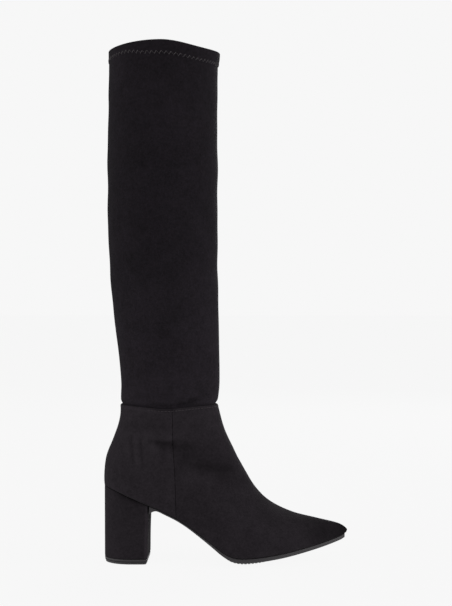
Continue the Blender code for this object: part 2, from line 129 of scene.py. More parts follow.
def rounded(bm, edges, offset, segments):
    """Rounds these edges of a bmesh off."""
    bmesh.ops.bevel(bm, geom=edges, offset=offset, segments=segments, profile=0.5, affect="EDGES",
                    material=-1)


def finished(name, bm, *materials, sharp_angle=180):
    """The bmesh as a smooth-shaded piece."""
    mesh = bpy.data.meshes.new(name)
    bm.to_mesh(mesh)
    bm.free()
    mesh.shade_smooth()
    mesh.set_sharp_from_angle(angle=math.radians(sharp_angle))
    return link_piece(name, mesh, *materials)


lining = knitted_lining("black_knitted_lining", LINING_YARN, "#1B191A", "#2E2B2D")
bm = bmesh.new()
bm.from_mesh(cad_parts["insole"].data)
bmesh.ops.remove_doubles(bm, verts=bm.verts, dist=1e-6)
rim = [e for e in bm.edges if e.is_manifold and e.calc_face_angle() > math.radians(INSOLE_RIM_ANGLE)]
rounded(bm, rim, INSOLE_EDGE_ROUND, 2)
face_outwards(bm)
insole = finished("insole_sock", bm, lining, sharp_angle=INSOLE_RIM_ANGLE)
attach(insole, "boot")
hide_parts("insole")


# ---------------------------------------------------------------- vamp and quarter
# The foot is closed from two panels of black faux suede, a vamp in front and a quarter behind, joined
# by a seam on the outer side and by the zip on the inner side. Lasting pulls them over the last, and
# their lower edge is turned in and glued under the insole.

HEEL_BACK = np.array([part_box("foot_upper")[0].x, 0, 0])  # where along is 0
PANEL_THICKNESS = 0.0015
SEAT_GAP = 0.0005
MARGIN_GAP = 0.0001  # between the turned-in edge and the sole it is glued to
MARGIN_LEAST = 0.001  # the least half width of the turned-in edge's rings
ANKLE_HALF_WIDTH = 0.0332
ANKLE_SPREADS_FROM = 0.150  # ahead of this the foot keeps the width of its sole
ANKLE_SPREADS_BY = 0.100
ANKLE_SPREAD_POWER = 1.6
SAG_POWER = 2.0  # how soon the rings leave the sole's curve, going up
CREASE_SHADE_DEPTH = 0.0022  # the depth of crease at which its painted shade is full
ANKLE_SAG = 0.0024  # the ankle's edge hangs this much lower in the middle of the outer side
ANKLE_SAG_AT = 0.060
ANKLE_SAG_REACH = 0.022
ANKLE_SAG_FROM = 0.88  # the level up the foot from which its skin follows its edge down
OUTER_SIDE_FADES_OVER = 0.012  # across the back and the front
SIDE_SEAM_HALF_GAP = 0.00008
SEAM_ROLL = 0.0007  # radius of the fold at a closed seam
ANKLE_ROLL = 0.0009
SOLE_ROLL = 0.0009
SOLE_ROLL_ENDS = ((0.232, 0.220, 0.25), (0.004, 0.020, 0.2))  # along from, along to, share at the tip
EDGE_STEPS = (0, 0.00012, 0.0003, 0.00055, 0.0009, 0.0014, 0.0022)  # rows next to a folded edge
TOE_GATHERS = 1.35  # columns drawn together at the toe

# The upper's edge where it meets the sole, seen from above
PLAN = (
    # along, outer side, inner side
    (0.000, -0.0238, 0.0238),
    (0.020, -0.0262, 0.0256),
    (0.040, -0.0266, 0.0250),
    (0.060, -0.0256, 0.0226),
    (0.080, -0.0268, 0.0210),
    (0.100, -0.0318, 0.0242),
    (0.118, -0.0372, 0.0310),
    (0.135, -0.0396, 0.0366),
    (0.150, -0.0386, 0.0392),
    (0.165, -0.0340, 0.0386),
    (0.180, -0.0270, 0.0352),
    (0.195, -0.0186, 0.0300),
    (0.210, -0.0092, 0.0244),
    (0.222, -0.0010, 0.0194),
    (0.232, 0.0052, 0.0156),
)

# Side view of the sole at its edge, and of the heel seat behind it
SEAT = (
    # along, height of the top edge, thickness, how far the middle lies below the edge
    (0.0000, 0.0726, 0.0018, 0.0008),
    (0.0120, 0.0688, 0.0018, 0.0008),
    (0.0250, 0.0636, 0.0018, 0.0008),
    (0.0440, 0.0553, 0.0018, 0.0008),
    (0.0520, 0.0521, 0.0018, 0.0008),
    (0.0600, 0.0482, 0.0018, 0.0010),
    (0.0700, 0.0432, 0.0018, 0.0010),
    (0.0800, 0.0372, 0.0020, 0.0012),
    (0.0913, 0.0294, 0.0023, 0.0014),
    (0.1042, 0.0203, 0.0029, 0.0026),
    (0.1128, 0.0141, 0.0033, 0.0036),
    (0.1213, 0.0099, 0.0037, 0.0054),
    (0.1300, 0.0084, 0.0038, 0.0061),
    (0.1420, 0.0089, 0.0038, 0.0064),
    (0.1550, 0.0099, 0.0038, 0.0052),
    (0.1720, 0.0117, 0.0038, 0.0036),
    (0.1900, 0.0146, 0.0037, 0.0028),
    (0.2070, 0.0179, 0.0036, 0.0022),
    (0.2210, 0.0213, 0.0035, 0.0016),
    (0.2320, 0.0246, 0.0034, 0.0010),
)

# Rings round the foot, from its edge at the sole (0) to the ankle seam (1)
FOOT_RINGS = (
    # up, back along, back height, front along, front height, rounding at the back, at the front
    (0.0, 0.0003, 0.0726, 0.2320, 0.0251, 0.026, 0.008),
    (0.1, 0.0000, 0.0780, 0.2322, 0.0284, 0.028, 0.025),
    (0.2, 0.0002, 0.0850, 0.2240, 0.0338, 0.030, 0.075),
    (0.3, 0.0009, 0.0930, 0.2035, 0.0392, 0.032, 0.108),
    (0.4, 0.0022, 0.1000, 0.1810, 0.0450, 0.034, 0.110),
    (0.5, 0.0044, 0.1065, 0.1604, 0.0550, 0.036, 0.100),
    (0.6, 0.0072, 0.1130, 0.1451, 0.0692, 0.038, 0.090),
    (0.7, 0.0103, 0.1210, 0.1336, 0.0878, 0.040, 0.077),
    (0.8, 0.0134, 0.1300, 0.1234, 0.1073, 0.042, 0.065),
    (0.9, 0.0154, 0.1395, 0.1146, 0.1265, 0.044, 0.055),
    (1.0, 0.0157, 0.1495, 0.1083, 0.1495, 0.0463, 0.0463),
)

# How the upper's lower edge turns in under the insole
LASTING_TURN = (
    # inset of the ring, inset at the toe
    (0.0095, 0.0160),
    (0.0040, 0.0050),
    (0.0020, 0.0022),
)

SIDE_SEAM = (
    # height, along
    (0.0400, 0.0700),
    (0.0541, 0.0697),
    (0.0776, 0.0692),
    (0.0960, 0.0682),
    (0.1160, 0.0670),
    (0.1445, 0.0666),
    (0.1560, 0.0666),
)

# The inner seam, which the zip lies in from 47 mm up
ZIP_LINE = (
    # height, along
    (0.0095, 0.1100),
    (0.0210, 0.1025),
    (0.0270, 0.0990),
    (0.0386, 0.0920),
    (0.0470, 0.0880),
    (0.0685, 0.0800),
    (0.0900, 0.0740),
    (0.1120, 0.0690),
    (0.1336, 0.0660),
    (0.1490, 0.0650),
    (0.1646, 0.0640),
    (0.1800, 0.0614),
    (0.1970, 0.0583),
    (0.2160, 0.0548),
)

# Rows of the panels' mesh, as shares of the way from the sole (0) to the ankle seam (1)
FOOT_LEVELS = np.concatenate([
    [0, 0.0015, 0.004, 0.008, 0.013, 0.020, 0.030],
    np.linspace(0.040, 0.972, 108),
    [0.979, 0.985, 0.990, 0.994, 0.9965, 0.9985, 1],
])

# Painted shade towards the toe and along the top of the foot, which face up into the light
TOE_PAINTED_SHADE = (
    # how much, along from, along to, power
    (0.35, 0.150, 0.210, 1),
    (0.50, 0.206, 0.230, 2),
)
TOP_PAINTED_SHADE = (0.35, 0.115, 0.145, 0.014)  # how much, along from, along to, half width

# Half of the gap between the two edges that the zip is sewn to
ZIP_GAP = (
    # height, half gap
    (0.0440, 0.00008),
    (0.0470, 0.00030),
    (0.0520, 0.00120),
    (0.0600, 0.00210),
    (0.0750, 0.00260),
    (0.1100, 0.00300),
    (0.1500, 0.00310),
    (0.2080, 0.00305),
)

# Soft troughs that wear and the last leave in the foot: side is -1 outer, 1 inner, 0 both
FOOT_CREASES = (
    # side, along and height of one end, of the other end, half width, depth
    (-1, 0.0660, 0.1148, 0.0460, 0.1165, 0.0022, 0.0007),
    (-1, 0.0660, 0.1128, 0.0540, 0.1145, 0.0038, 0.0011),
    (-1, 0.0655, 0.1088, 0.0580, 0.1100, 0.0036, 0.0006),
    (-1, 0.0640, 0.1190, 0.0460, 0.1205, 0.0022, -0.0004),
    (-1, 0.0180, 0.1480, 0.0560, 0.1452, 0.0012, -0.0006),
    (-1, 0.0500, 0.1480, 0.0680, 0.1478, 0.0014, 0.0006),
    (-1, 0.0360, 0.1400, 0.0560, 0.1380, 0.0022, 0.0004),
    (-1, 0.0470, 0.1110, 0.0530, 0.1060, 0.0022, -0.0004),
    (-1, 0.0700, 0.1135, 0.0840, 0.1110, 0.0040, 0.0008),
    (-1, 0.1210, 0.0900, 0.0920, 0.0915, 0.0045, 0.0010),
    (-1, 0.1150, 0.0960, 0.0800, 0.1010, 0.0110, 0.0009),
    (-1, 0.1330, 0.0800, 0.1120, 0.0830, 0.0060, 0.0008),
    (-1, 0.0800, 0.0870, 0.0980, 0.0780, 0.0040, -0.0003),
    (0, 0.0250, 0.1315, 0.0600, 0.1300, 0.0045, 0.0006),
    (-1, 0.0280, 0.1200, 0.0300, 0.0980, 0.0018, 0.0008),
    (-1, 0.0370, 0.1180, 0.0390, 0.0950, 0.0018, 0.0008),
    (-1, 0.0325, 0.1180, 0.0345, 0.0960, 0.0020, -0.0003),
    (-1, 0.0200, 0.1100, 0.0230, 0.0900, 0.0022, 0.0003),
    (-1, 0.0640, 0.1400, 0.0640, 0.0620, 0.0030, -0.0003),
    (1, 0.1200, 0.0960, 0.0920, 0.1010, 0.0060, 0.0014),
    (1, 0.0480, 0.1150, 0.0330, 0.1190, 0.0045, 0.0012),
    (0, 0.1580, 0.0400, 0.1480, 0.0560, 0.0070, 0.0005),
    (-1, 0.1900, 0.0260, 0.2080, 0.0270, 0.0050, 0.0005),
)


def slope(rows, column):
    """Slope of a table's column at each of its rows, from the rows on either side."""
    before = np.concatenate([rows[:1], rows[:-1]])
    after = np.concatenate([rows[1:], rows[-1:]])
    return (after[:, column] - before[:, column]) / (after[:, 0] - before[:, 0])


def smooth(table, at, column):
    """A column's value at each of these places, on a smooth curve through all its rows."""
    rows = np.array(table)
    at = np.clip(at, rows[0, 0], rows[-1, 0])
    i = np.searchsorted(rows[1:-1, 0], at)
    span = rows[i + 1, 0] - rows[i, 0]
    t = (at - rows[i, 0]) / span
    start, end = rows[i, column], rows[i + 1, column]
    slopes = slope(rows, column)
    rise = (1 - t) * slopes[i] - t * slopes[i + 1]
    turn = (1 - 2 * t) * (end - start) / span
    return start + (end - start) * t + t * (1 - t) * span * (rise - turn)


def mix(a, b, t):
    return a + (b - a) * t


def fade(at, start, end):
    """From 0 at the start to 1 at the end, and no further."""
    return np.clip((at - start) / (end - start), 0, 1)


def round_end(distance, length):
    """From 0 at the end of an outline to 1 a length further in, as a quarter ellipse."""
    return np.sqrt(1 - (1 - np.clip(distance / length, 0, 1)) ** 2)


def plan_centre(x):
    return (smooth(PLAN, x, 1) + smooth(PLAN, x, 2)) / 2


def plan_half_width(x):
    return (smooth(PLAN, x, 2) - smooth(PLAN, x, 1)) / 2


def plan_rounding(x, back=0.0, front=PLAN[-1][0]):
    heel_round, toe_round = FOOT_RINGS[0][5:]
    return round_end(x - back, heel_round) * round_end(front - x, toe_round)


def seat_height(x, y):
    """Top of the sole, or of the heel behind it: highest at its edge, lower in the middle."""
    off_centre = (y - plan_centre(x)) / plan_half_width(x)
    inside = np.maximum(plan_rounding(x) ** 2 - off_centre ** 2, 0)
    return smooth(SEAT, x, 1) - smooth(SEAT, x, 3) * inside


def ring_ends(up):
    """How far along the ring at this level its back and its front are."""
    return smooth(FOOT_RINGS, up, 1), smooth(FOOT_RINGS, up, 3)


def foot_sides(x, up):
    """Middle and half width of the ring at this level, where it passes this place along the foot."""
    back, front = ring_ends(up)
    ankle = fade(x, ANKLE_SPREADS_FROM, ANKLE_SPREADS_BY) * (1 - (1 - up) ** ANKLE_SPREAD_POWER)
    half = mix(plan_half_width(x), ANKLE_HALF_WIDTH, ankle)
    half = half * round_end(x - back, smooth(FOOT_RINGS, up, 5))
    half = half * round_end(front - x, smooth(FOOT_RINGS, up, 6))
    return mix(plan_centre(x), 0, ankle), half


def foot_side_point(s, up):
    """Where a ring passes in the side view, s of the way from its back to its front."""
    back, front = ring_ends(up)
    chord = mix(smooth(FOOT_RINGS, up, 2), smooth(FOOT_RINGS, up, 4), s)
    sole_x = mix(FOOT_RINGS[0][1], FOOT_RINGS[0][3], s)
    sole_chord = mix(FOOT_RINGS[0][2], FOOT_RINGS[0][4], s)
    sag = smooth(SEAT, sole_x, 1) + SEAT_GAP - sole_chord
    return mix(back, front, s), chord + sag * (1 - up) ** SAG_POWER


def foot_points(angle, up):
    """Points of the foot's outer face, angle 0 at the heel and pi at the toe, outer side first."""
    x, z = foot_side_point((1 - np.cos(angle)) / 2, up)
    middle, half = foot_sides(x, up)
    return np.stack([x, middle - np.sign(np.sin(angle)) * half, z], axis=-1)


def halved(low, high, is_past, steps=30):
    """Where is_past turns true between low and high, found by halving."""
    for _ in range(steps):
        middle = (low + high) / 2
        past = is_past(middle)
        low, high = np.where(past, low, middle), np.where(past, middle, high)
    return (low + high) / 2


def seam_angle(up, line, off_line):
    """The angle, on each ring, of a line given by height, moved along the foot by off_line(height)."""
    def is_past(angle):
        x, z = foot_side_point((1 - np.cos(angle)) / 2, up)
        return x > smooth(line, z, 1) + off_line(z)

    return halved(np.full_like(up, 0.01), np.full_like(up, math.pi - 0.01), is_past)


def travelled_along(points):
    """How far each point is from the first one, along its line or down its column of a grid."""
    steps = np.linalg.norm(np.diff(points, axis=0), axis=-1)
    return np.insert(np.cumsum(steps, axis=0), 0, 0, axis=0)


def along_row(start, pin, up, count, gathers):
    """Angles of one row's columns from its seam to its pin, and their distances from the seam."""
    fine = np.linspace(start, pin, 300)
    travelled = travelled_along(foot_points(fine, np.full_like(fine, up)))
    share = np.arange(1, count - len(EDGE_STEPS) + 1) / (count - len(EDGE_STEPS))
    share = 1 - (1 - share) ** gathers
    distances = np.concatenate([EDGE_STEPS, mix(EDGE_STEPS[-1], travelled[-1], share)])
    return np.interp(distances, travelled, fine), distances


def rolled(distance, radius):
    """How far an edge folded to this radius has sunk, at this distance from it."""
    near = np.clip(1 - distance / np.maximum(radius, 1e-9), 0, 1)
    return radius * (1 - np.sqrt(1 - near ** 2))


def outward(points):
    """Unit normals of a grid of points, rows going up and columns going round, facing outwards."""
    normal = np.cross(np.gradient(points, axis=1), np.gradient(points, axis=0))
    normal /= np.linalg.norm(normal, axis=-1, keepdims=True) + 1e-12
    away = points[:, :, 1] - points[:, :, 1].mean()
    return -normal if (normal[:, :, 1] * away).sum() < 0 else normal


def trough(points, x1, z1, x2, z2, half_width, depth):
    """Depth of a soft crease along a line in the side view, fading at its ends."""
    line = np.array([x2 - x1, z2 - z1])
    off = points[..., [0, 2]] - np.array([x1, z1])
    share = (off @ line) / (line @ line)
    nearest = np.clip(share, 0, 1)[..., None] * line
    far = np.linalg.norm(off - nearest, axis=-1)
    return depth * np.exp(-(far / half_width) ** 2)


def edge_distances(points):
    """For each point of a grid, how far it is down its column from the first and from the last row."""
    from_first = travelled_along(points)
    return from_first, from_first[-1] - from_first


def grid_piece(points, nap_and_painted_light=None):
    """A bmesh grid with its vertices at these points, which count along from the back of the heel.

    The suede reads this value as its nap: darker above 0 and paler below 0. It holds each panel's own
    tone together with painted shade and painted light.
    """
    rows, columns = points.shape[:2]
    bm = bmesh.new()
    bmesh.ops.create_grid(bm, x_segments=columns - 1, y_segments=rows - 1, size=1)
    placed = points + HEEL_BACK
    if nap_and_painted_light is None:
        nap_and_painted_light = np.zeros((rows, columns))
    nap = bm.verts.layers.float.new("nap")
    for vert in bm.verts:
        column = round((vert.co.x + 1) / 2 * (columns - 1))
        row = round((vert.co.y + 1) / 2 * (rows - 1))
        vert.co = placed[row, column]
        vert[nap] = nap_and_painted_light[row, column]
    return bm


def face_away(bm, along, height):
    """Turns an open sheet's faces so that, taken together, they point away from the leg's middle."""
    bm.normal_update()
    inside = Vector(HEEL_BACK + [along, 0, height])
    facing = sum((f.calc_center_median() - inside).dot(f.normal) * f.calc_area() for f in bm.faces)
    if facing < 0:
        bmesh.ops.reverse_faces(bm, faces=bm.faces)


def zip_half_gap(z):
    return smooth(ZIP_GAP, z, 1)


def outer_side(y):
    """1 on the outer side, fading to 0 across the back and the front."""
    return fade(y, OUTER_SIDE_FADES_OVER / 2, -OUTER_SIDE_FADES_OVER / 2)


def ankle_sag(points):
    """How far the ankle's edge hangs below its level at these points."""
    off_middle = (points[..., 0] - ANKLE_SAG_AT) / ANKLE_SAG_REACH
    return ANKLE_SAG * np.exp(-off_middle ** 2) * outer_side(points[..., 1])


def foot_relief(points, side):
    """How far the foot's surface has sunk into its creases."""
    sunk = np.zeros(points.shape[:2])
    for crease_side, *crease in FOOT_CREASES:
        here = np.where(crease_side * side >= 0, 1.0, 0.0)
        sunk = sunk + here * trough(points, *crease)
    return sunk


def toe_and_top_painted_shade(points):
    """How much painted shade the toe and the top of the foot get, as they face up into the light."""
    x, y = points[..., 0], points[..., 1]
    much, start, end, half_width = TOP_PAINTED_SHADE
    nap_and_painted_light = much * fade(x, start, end) * np.exp(-(y / half_width) ** 2)
    for much, start, end, power in TOE_PAINTED_SHADE:
        nap_and_painted_light += much * fade(x, start, end) ** power
    return nap_and_painted_light


def panel_seams(levels, way):
    """A panel's two edges as angles: it lies ahead of the seams (1), or behind them (-1)."""
    outer = seam_angle(levels, SIDE_SEAM, lambda z: way * SIDE_SEAM_HALF_GAP)
    inner = seam_angle(levels, ZIP_LINE, lambda z: way * zip_half_gap(z))
    return (outer, 2 * math.pi - inner) if way > 0 else (-inner, outer)


def thicken(panel, thickness):
    """Gives a sheet its thickness, inwards, with its last material on the inside."""
    wall = panel.modifiers.new("thickness", "SOLIDIFY")
    wall.thickness = thickness
    wall.offset = -1
    wall.material_offset = len(panel.data.materials) - 1


def foot_panel(name, way, pin, side_count, gathers, nap, surfaces):
    """One panel of the foot, from seam to seam round its pin, with its edge turned in below."""
    angles, from_seam = [], []
    for up, start, end in zip(FOOT_LEVELS, *panel_seams(FOOT_LEVELS, way)):
        there, there_far = along_row(start, pin, up, side_count, gathers)
        back, back_far = along_row(end, pin, up, side_count, gathers)
        angles.append(np.concatenate([there, back[-2::-1]]))
        from_seam.append(np.concatenate([there_far, back_far[-2::-1]]))
    angles, from_seam = np.array(angles), np.array(from_seam)
    levels = np.repeat(FOOT_LEVELS[:, None], angles.shape[1], axis=1)
    points = foot_points(angles, levels)
    from_sole, from_ankle = edge_distances(points)
    sole_roll = SOLE_ROLL
    for tip, inner, least in SOLE_ROLL_ENDS:
        sole_roll = sole_roll * np.maximum(fade(points[..., 0], tip, inner), least)
    sunk = rolled(from_seam, SEAM_ROLL) + rolled(from_sole, sole_roll) + rolled(from_ankle, ANKLE_ROLL)
    creased = foot_relief(points, -np.sign(np.sin(angles)))
    wall = points - outward(points) * (sunk + creased)[..., None]
    wall[..., 2] -= ankle_sag(points) * fade(levels, ANKLE_SAG_FROM, 1)

    margin = []
    s = (1 - np.cos(angles[0])) / 2
    for inset, toe_inset in LASTING_TURN:
        front = PLAN[-1][0] - toe_inset
        x = mix(inset, front, s)
        half = np.maximum(plan_half_width(x) - inset, MARGIN_LEAST) * plan_rounding(x, inset, front)
        y = plan_centre(x) - np.sign(np.sin(angles[0])) * half
        margin.append(np.stack([x, y, seat_height(x, y) + MARGIN_GAP], axis=-1))
    # painted shade in the creases and on the toe and top of the foot, added to the panel's own nap tone
    nap_and_painted_light = creased / CREASE_SHADE_DEPTH + nap + toe_and_top_painted_shade(points)
    nap_and_painted_light = np.concatenate([np.zeros((len(margin), nap_and_painted_light.shape[1])), nap_and_painted_light])
    bm = grid_piece(np.concatenate([np.array(margin), wall]), nap_and_painted_light)
    face_away(bm, along=0.08, height=0.08)
    panel = finished(name, bm, *surfaces)
    thicken(panel, PANEL_THICKNESS)
    return panel


def faux_suede(name, dark, light):
    """Microfibre suede, knitted from split polyester, dyed black and brushed up into a short nap.

    It is matt, and its fibres' tips give it a slight sheen. Brushing leaves soft patches 45 mm wide,
    and handling a mottle of 6 mm. Its fibres gather in tufts of 0.5 mm, which are drawn at 2 mm so
    that they show. The piece's nap attribute makes it darker above 0 and paler below 0. It holds each
    panel's own tone, painted shade in creases, under the heel's seat and on the toe and top of the foot,
    painted light on the heel's breast corners, and a paler tone low on the shaft.
    """
    made, tree, shader = new_material(name, Roughness=0.95, Specular_IOR_Level=0.03,
                                      Sheen_Weight=0.02, Sheen_Roughness=0.5)
    place = add_node(tree, "TexCoord").outputs["Object"]
    patches = add_node(tree, "TexNoise", {"Vector": place, "Scale": 1 / 0.045, "Detail": 2.0,
                                          "Roughness": 0.5, "Distortion": 0.8})
    mottle = add_node(tree, "TexNoise", {"Vector": place, "Scale": 1 / 0.006, "Detail": 3.0,
                                         "Roughness": 0.6, "Distortion": 0.5})
    tufts = add_node(tree, "TexNoise", {"Vector": place, "Scale": 1 / 0.002, "Detail": 3.0,
                                        "Roughness": 0.75})
    spread = [
        add_node(tree, "MapRange", {"Value": noise.outputs["Fac"], "From Min": low, "From Max": high})
        for noise, low, high in ((patches, 0.30, 0.70), (mottle, 0.34, 0.66), (tufts, 0.32, 0.68))
    ]
    both = add_node(tree, "Mix", {0: 0.45, 2: spread[0].outputs[0], 3: spread[1].outputs[0]})
    three = add_node(tree, "Mix", {0: 0.48, 2: both.outputs[0], 3: spread[2].outputs[0]})
    nap = add_node(tree, "Mix", {0: three.outputs[0], 6: linear(dark), 7: linear(light)},
                   data_type="RGBA")
    # the nap attribute: each panel's own tone, with painted shade and painted light
    read_nap_and_painted_light = add_node(tree, "Attribute", attribute_name="nap").outputs["Fac"]
    paleness = add_node(tree, "MapRange", {"Value": read_nap_and_painted_light, "From Min": -1.0, "To Min": 1.6,
                                           "To Max": 0.4})
    colour = add_node(tree, "VectorMath", {0: nap.outputs[2], "Scale": paleness.outputs[0]},
                      operation="SCALE")
    soft = add_node(tree, "Bump", {"Height": mottle.outputs["Fac"], "Strength": 0.5,
                                   "Distance": 0.0006})
    fine = add_node(tree, "Bump", {"Height": tufts.outputs["Fac"], "Strength": 0.7,
                                   "Distance": 0.0003, "Normal": soft.outputs["Normal"]})
    feed(shader, {"Base Color": colour.outputs["Vector"], "Normal": fine.outputs["Normal"]})
    return made


foot_suede = faux_suede("black_microfibre_suede", "#1C191C", "#2E2A2E")
for name, way, pin, side_count, gathers, nap in (
    ("vamp", 1, math.pi, 128, TOE_GATHERS, -0.2),
    ("quarter", -1, 0.0, 74, 1.0, -0.35),
):
    panel = foot_panel(name, way, pin, side_count, gathers, nap, (foot_suede, lining))
    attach(panel, "boot")
    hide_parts("foot_upper")


# ---------------------------------------------------------------- outsole and heel lift
# Both are moulded from dark grey thermoplastic rubber, with rounded edges and fine ribs across the
# tread. The outsole is glued under the turned-in upper, and the lift is pinned under the heel.

SOLE_SETBACK = 0.0012
SOLE_START = 0.0446
SOLE_END = 0.2304
LIP_LENGTH = 0.0085  # the sole's end, filleted into the breast of the heel
LIP_DROP = 0.0056
RUBBER_EDGE_ROUND = 0.0007
RIM_STEPS = (0, 0.00005, 0.0002, 0.00042, 0.0007)  # rows next to a rounded edge
LIP_STEPS = (0.0014, 0.0024, 0.0036, 0.0050, 0.0066, 0.0085)
NOSE_STEPS = 10
BREAST_STEPS = (0.0023, 0.0017, 0.0011)
PLAIN_BEHIND = 0.0100  # the sole's plain stretches, behind its first groove and ahead of its last
PLAIN_AHEAD = 0.0012
TREAD_BORDER = 0.0030
TREAD_RIB = 0.0034  # from one groove to the next
TREAD_GROOVE = 0.0012
TREAD_DRAFT = 0.0002  # slope of a groove's walls
TREAD_DEPTH = 0.0007
LIFT_THICKNESS = 0.0048
LIFT_LINE = (0.0021, 0.0025, 0.0029)  # a moulded line round the lift
LIFT_LINE_DEPTH = 0.0006
HEEL_BACK_ROUND = 0.0250
HEEL_CORNER_ROUND = 0.0035
HEEL_BREAST_SHARE = 0.86  # of the half width, left where the corner meets the breast

LIFT = (
    # up, back, breast, half width
    (0.0, 0.0017, 0.0417, 0.0233),
    (0.35, 0.0011, 0.0424, 0.0239),
    (1.0, 0.0008, 0.0427, 0.0240),
)


def moulded_rubber(name, dark, light, underside_shade):
    """Thermoplastic rubber, injected in a spark-eroded mould: an even, faintly grained half-gloss.

    Its faces that turn down are drawn near black, as painted shade under the sole and the lift.
    """
    made, tree, shader = new_material(name, Roughness=0.5, Specular_IOR_Level=0.4)
    place = add_node(tree, "TexCoord").outputs["Object"]
    cloud = add_node(tree, "TexNoise", {"Vector": place, "Scale": 1 / 0.012, "Detail": 3.0})
    grain = add_node(tree, "TexNoise", {"Vector": place, "Scale": 1 / 0.0006, "Detail": 2.0})
    colour = add_node(tree, "Mix", {0: cloud.outputs["Fac"], 6: linear(dark), 7: linear(light)},
                      data_type="RGBA")
    gloss = add_node(tree, "MapRange", {"Value": cloud.outputs["Fac"], "To Min": 0.45,
                                        "To Max": 0.6})
    bump = add_node(tree, "Bump", {"Height": grain.outputs["Fac"], "Strength": 0.3,
                                   "Distance": 0.0001})
    # painted shade: faces that turn down take the near-black underside colour
    up = add_node(tree, "SeparateXYZ", {0: add_node(tree, "TexCoord").outputs["Normal"]}).outputs["Z"]
    faces_down_shade = add_node(tree, "MapRange", {"Value": up, "From Min": -0.25, "From Max": -0.8})
    shown = add_node(tree, "Mix", {0: faces_down_shade.outputs[0], 6: colour.outputs[2], 7: linear(underside_shade)},
                     data_type="RGBA")
    feed(shader, {"Base Color": shown.outputs[2], "Roughness": gloss.outputs[0],
                  "Normal": bump.outputs["Normal"]})
    return made


def groove_rows(first, last):
    """Rows between these places along a plate, four to a groove, and each one's share of its depth."""
    starts = np.arange(first, last - TREAD_GROOVE, TREAD_RIB)
    profile = (0, TREAD_DRAFT, TREAD_GROOVE - TREAD_DRAFT, TREAD_GROOVE)
    return (starts[:, None] + profile).ravel(), np.tile([0, 1, 1, 0], len(starts))


def from_rim(x, y, outline, ends):
    """How far in from the edge of a plate these places are, and how far its edge is rounded there."""
    middle, half = outline(x)
    distance = np.minimum(half - abs(y - middle), np.minimum(x - ends[0], ends[1] - x))
    return np.maximum(distance, 0), RUBBER_EDGE_ROUND * np.minimum(half / (2 * TREAD_BORDER) + 0.2, 1)


def ribbed_sheet(x, deep, outline, ends, height):
    """The underside of a moulded plate: ribs across it, inside a plain border with a rounded edge."""
    middle, half = (values[:, None] for values in outline(x))
    narrow = np.minimum(half / (1.5 * TREAD_BORDER), 1)
    rim = np.array(RIM_STEPS + (TREAD_BORDER, TREAD_BORDER + TREAD_DRAFT)) * narrow
    inner = mix(rim[:, -1:], half, np.array([1 / 3, 2 / 3, 1]))
    one_side = np.concatenate([rim, inner], axis=1)
    y = np.concatenate([one_side - half, (half - one_side)[:, -2::-1]], axis=1) + middle
    ribbed = np.arange(one_side.shape[1]) > len(RIM_STEPS)
    ribbed = np.concatenate([ribbed, ribbed[-2::-1]])
    x = np.repeat(x[:, None], y.shape[1], axis=1)
    z = height(x, y) + rolled(*from_rim(x, y, outline, ends)) + TREAD_DEPTH * deep[:, None] * ribbed
    bm = grid_piece(np.stack([x, y, z], axis=-1))
    bmesh.ops.remove_doubles(bm, verts=bm.verts, dist=1e-6)
    return bm


def raised(bm, faces, place):
    """Extrudes these faces, puts their vertices where place says, and returns them."""
    edges = {e for f in faces for e in f.edges}
    made = bmesh.ops.extrude_face_region(bm, geom=list(faces) + list(edges))["geom"]
    verts = [v for v in made if isinstance(v, bmesh.types.BMVert)]
    x, y, _ = (np.array([v.co for v in verts]) - HEEL_BACK).T
    for vert, point in zip(verts, np.stack(place(x, y), axis=-1) + HEEL_BACK):
        vert.co = point
    return [f for f in made if isinstance(f, bmesh.types.BMFace)]


def sole_outline(x):
    """Middle and half width of the sole, which is cut square at the heel."""
    return plan_centre(x), (plan_half_width(x) - SOLE_SETBACK) * plan_rounding(x, -1.0, SOLE_END)


def sole_underside(x, y):
    """Height of the sole's tread, which turns down in a fillet where it meets the heel's breast."""
    lip = fade(x, SOLE_START + LIP_LENGTH, SOLE_START)
    return np.maximum(seat_height(x, y) - smooth(SEAT, x, 2) - LIP_DROP * lip ** 2, 0)


def lift_outline(t):
    """The outline of the lift at one level."""
    back, breast, half = (smooth(LIFT, t, column) for column in (1, 2, 3))

    def outline(x):
        rounded_off = round_end(x - back, HEEL_BACK_ROUND)
        rounded_off = rounded_off * mix(HEEL_BREAST_SHARE, 1, round_end(breast - x, HEEL_CORNER_ROUND))
        return np.zeros_like(x), half * rounded_off

    return back, breast, half, outline


# 121112 is painted shade, on the faces that turn down
rubber = moulded_rubber("dark_grey_moulded_rubber", "#2D2B2D", "#3D3A3D", "#121112")

toe_round = FOOT_RINGS[0][6]
grooves, deep = groove_rows(SOLE_START + PLAIN_BEHIND, SOLE_END - toe_round - PLAIN_AHEAD)
lip = SOLE_START + np.array(RIM_STEPS + LIP_STEPS)
nose = SOLE_END - toe_round * (1 - np.cos(np.linspace(math.pi / 2, 0, NOSE_STEPS + 1)))
rows = np.concatenate([lip, grooves, nose])
deep = np.concatenate([np.zeros(len(lip)), deep, np.zeros(len(nose))])
ends = (SOLE_START, SOLE_END)
bm = ribbed_sheet(rows, deep, sole_outline, ends, sole_underside)
raised(bm, bm.faces[:], lambda x, y: (
    x, y, seat_height(x, y) - rolled(*from_rim(x, y, sole_outline, ends))))
face_outwards(bm)
outsole = finished("ribbed_outsole", bm, rubber, sharp_angle=40)

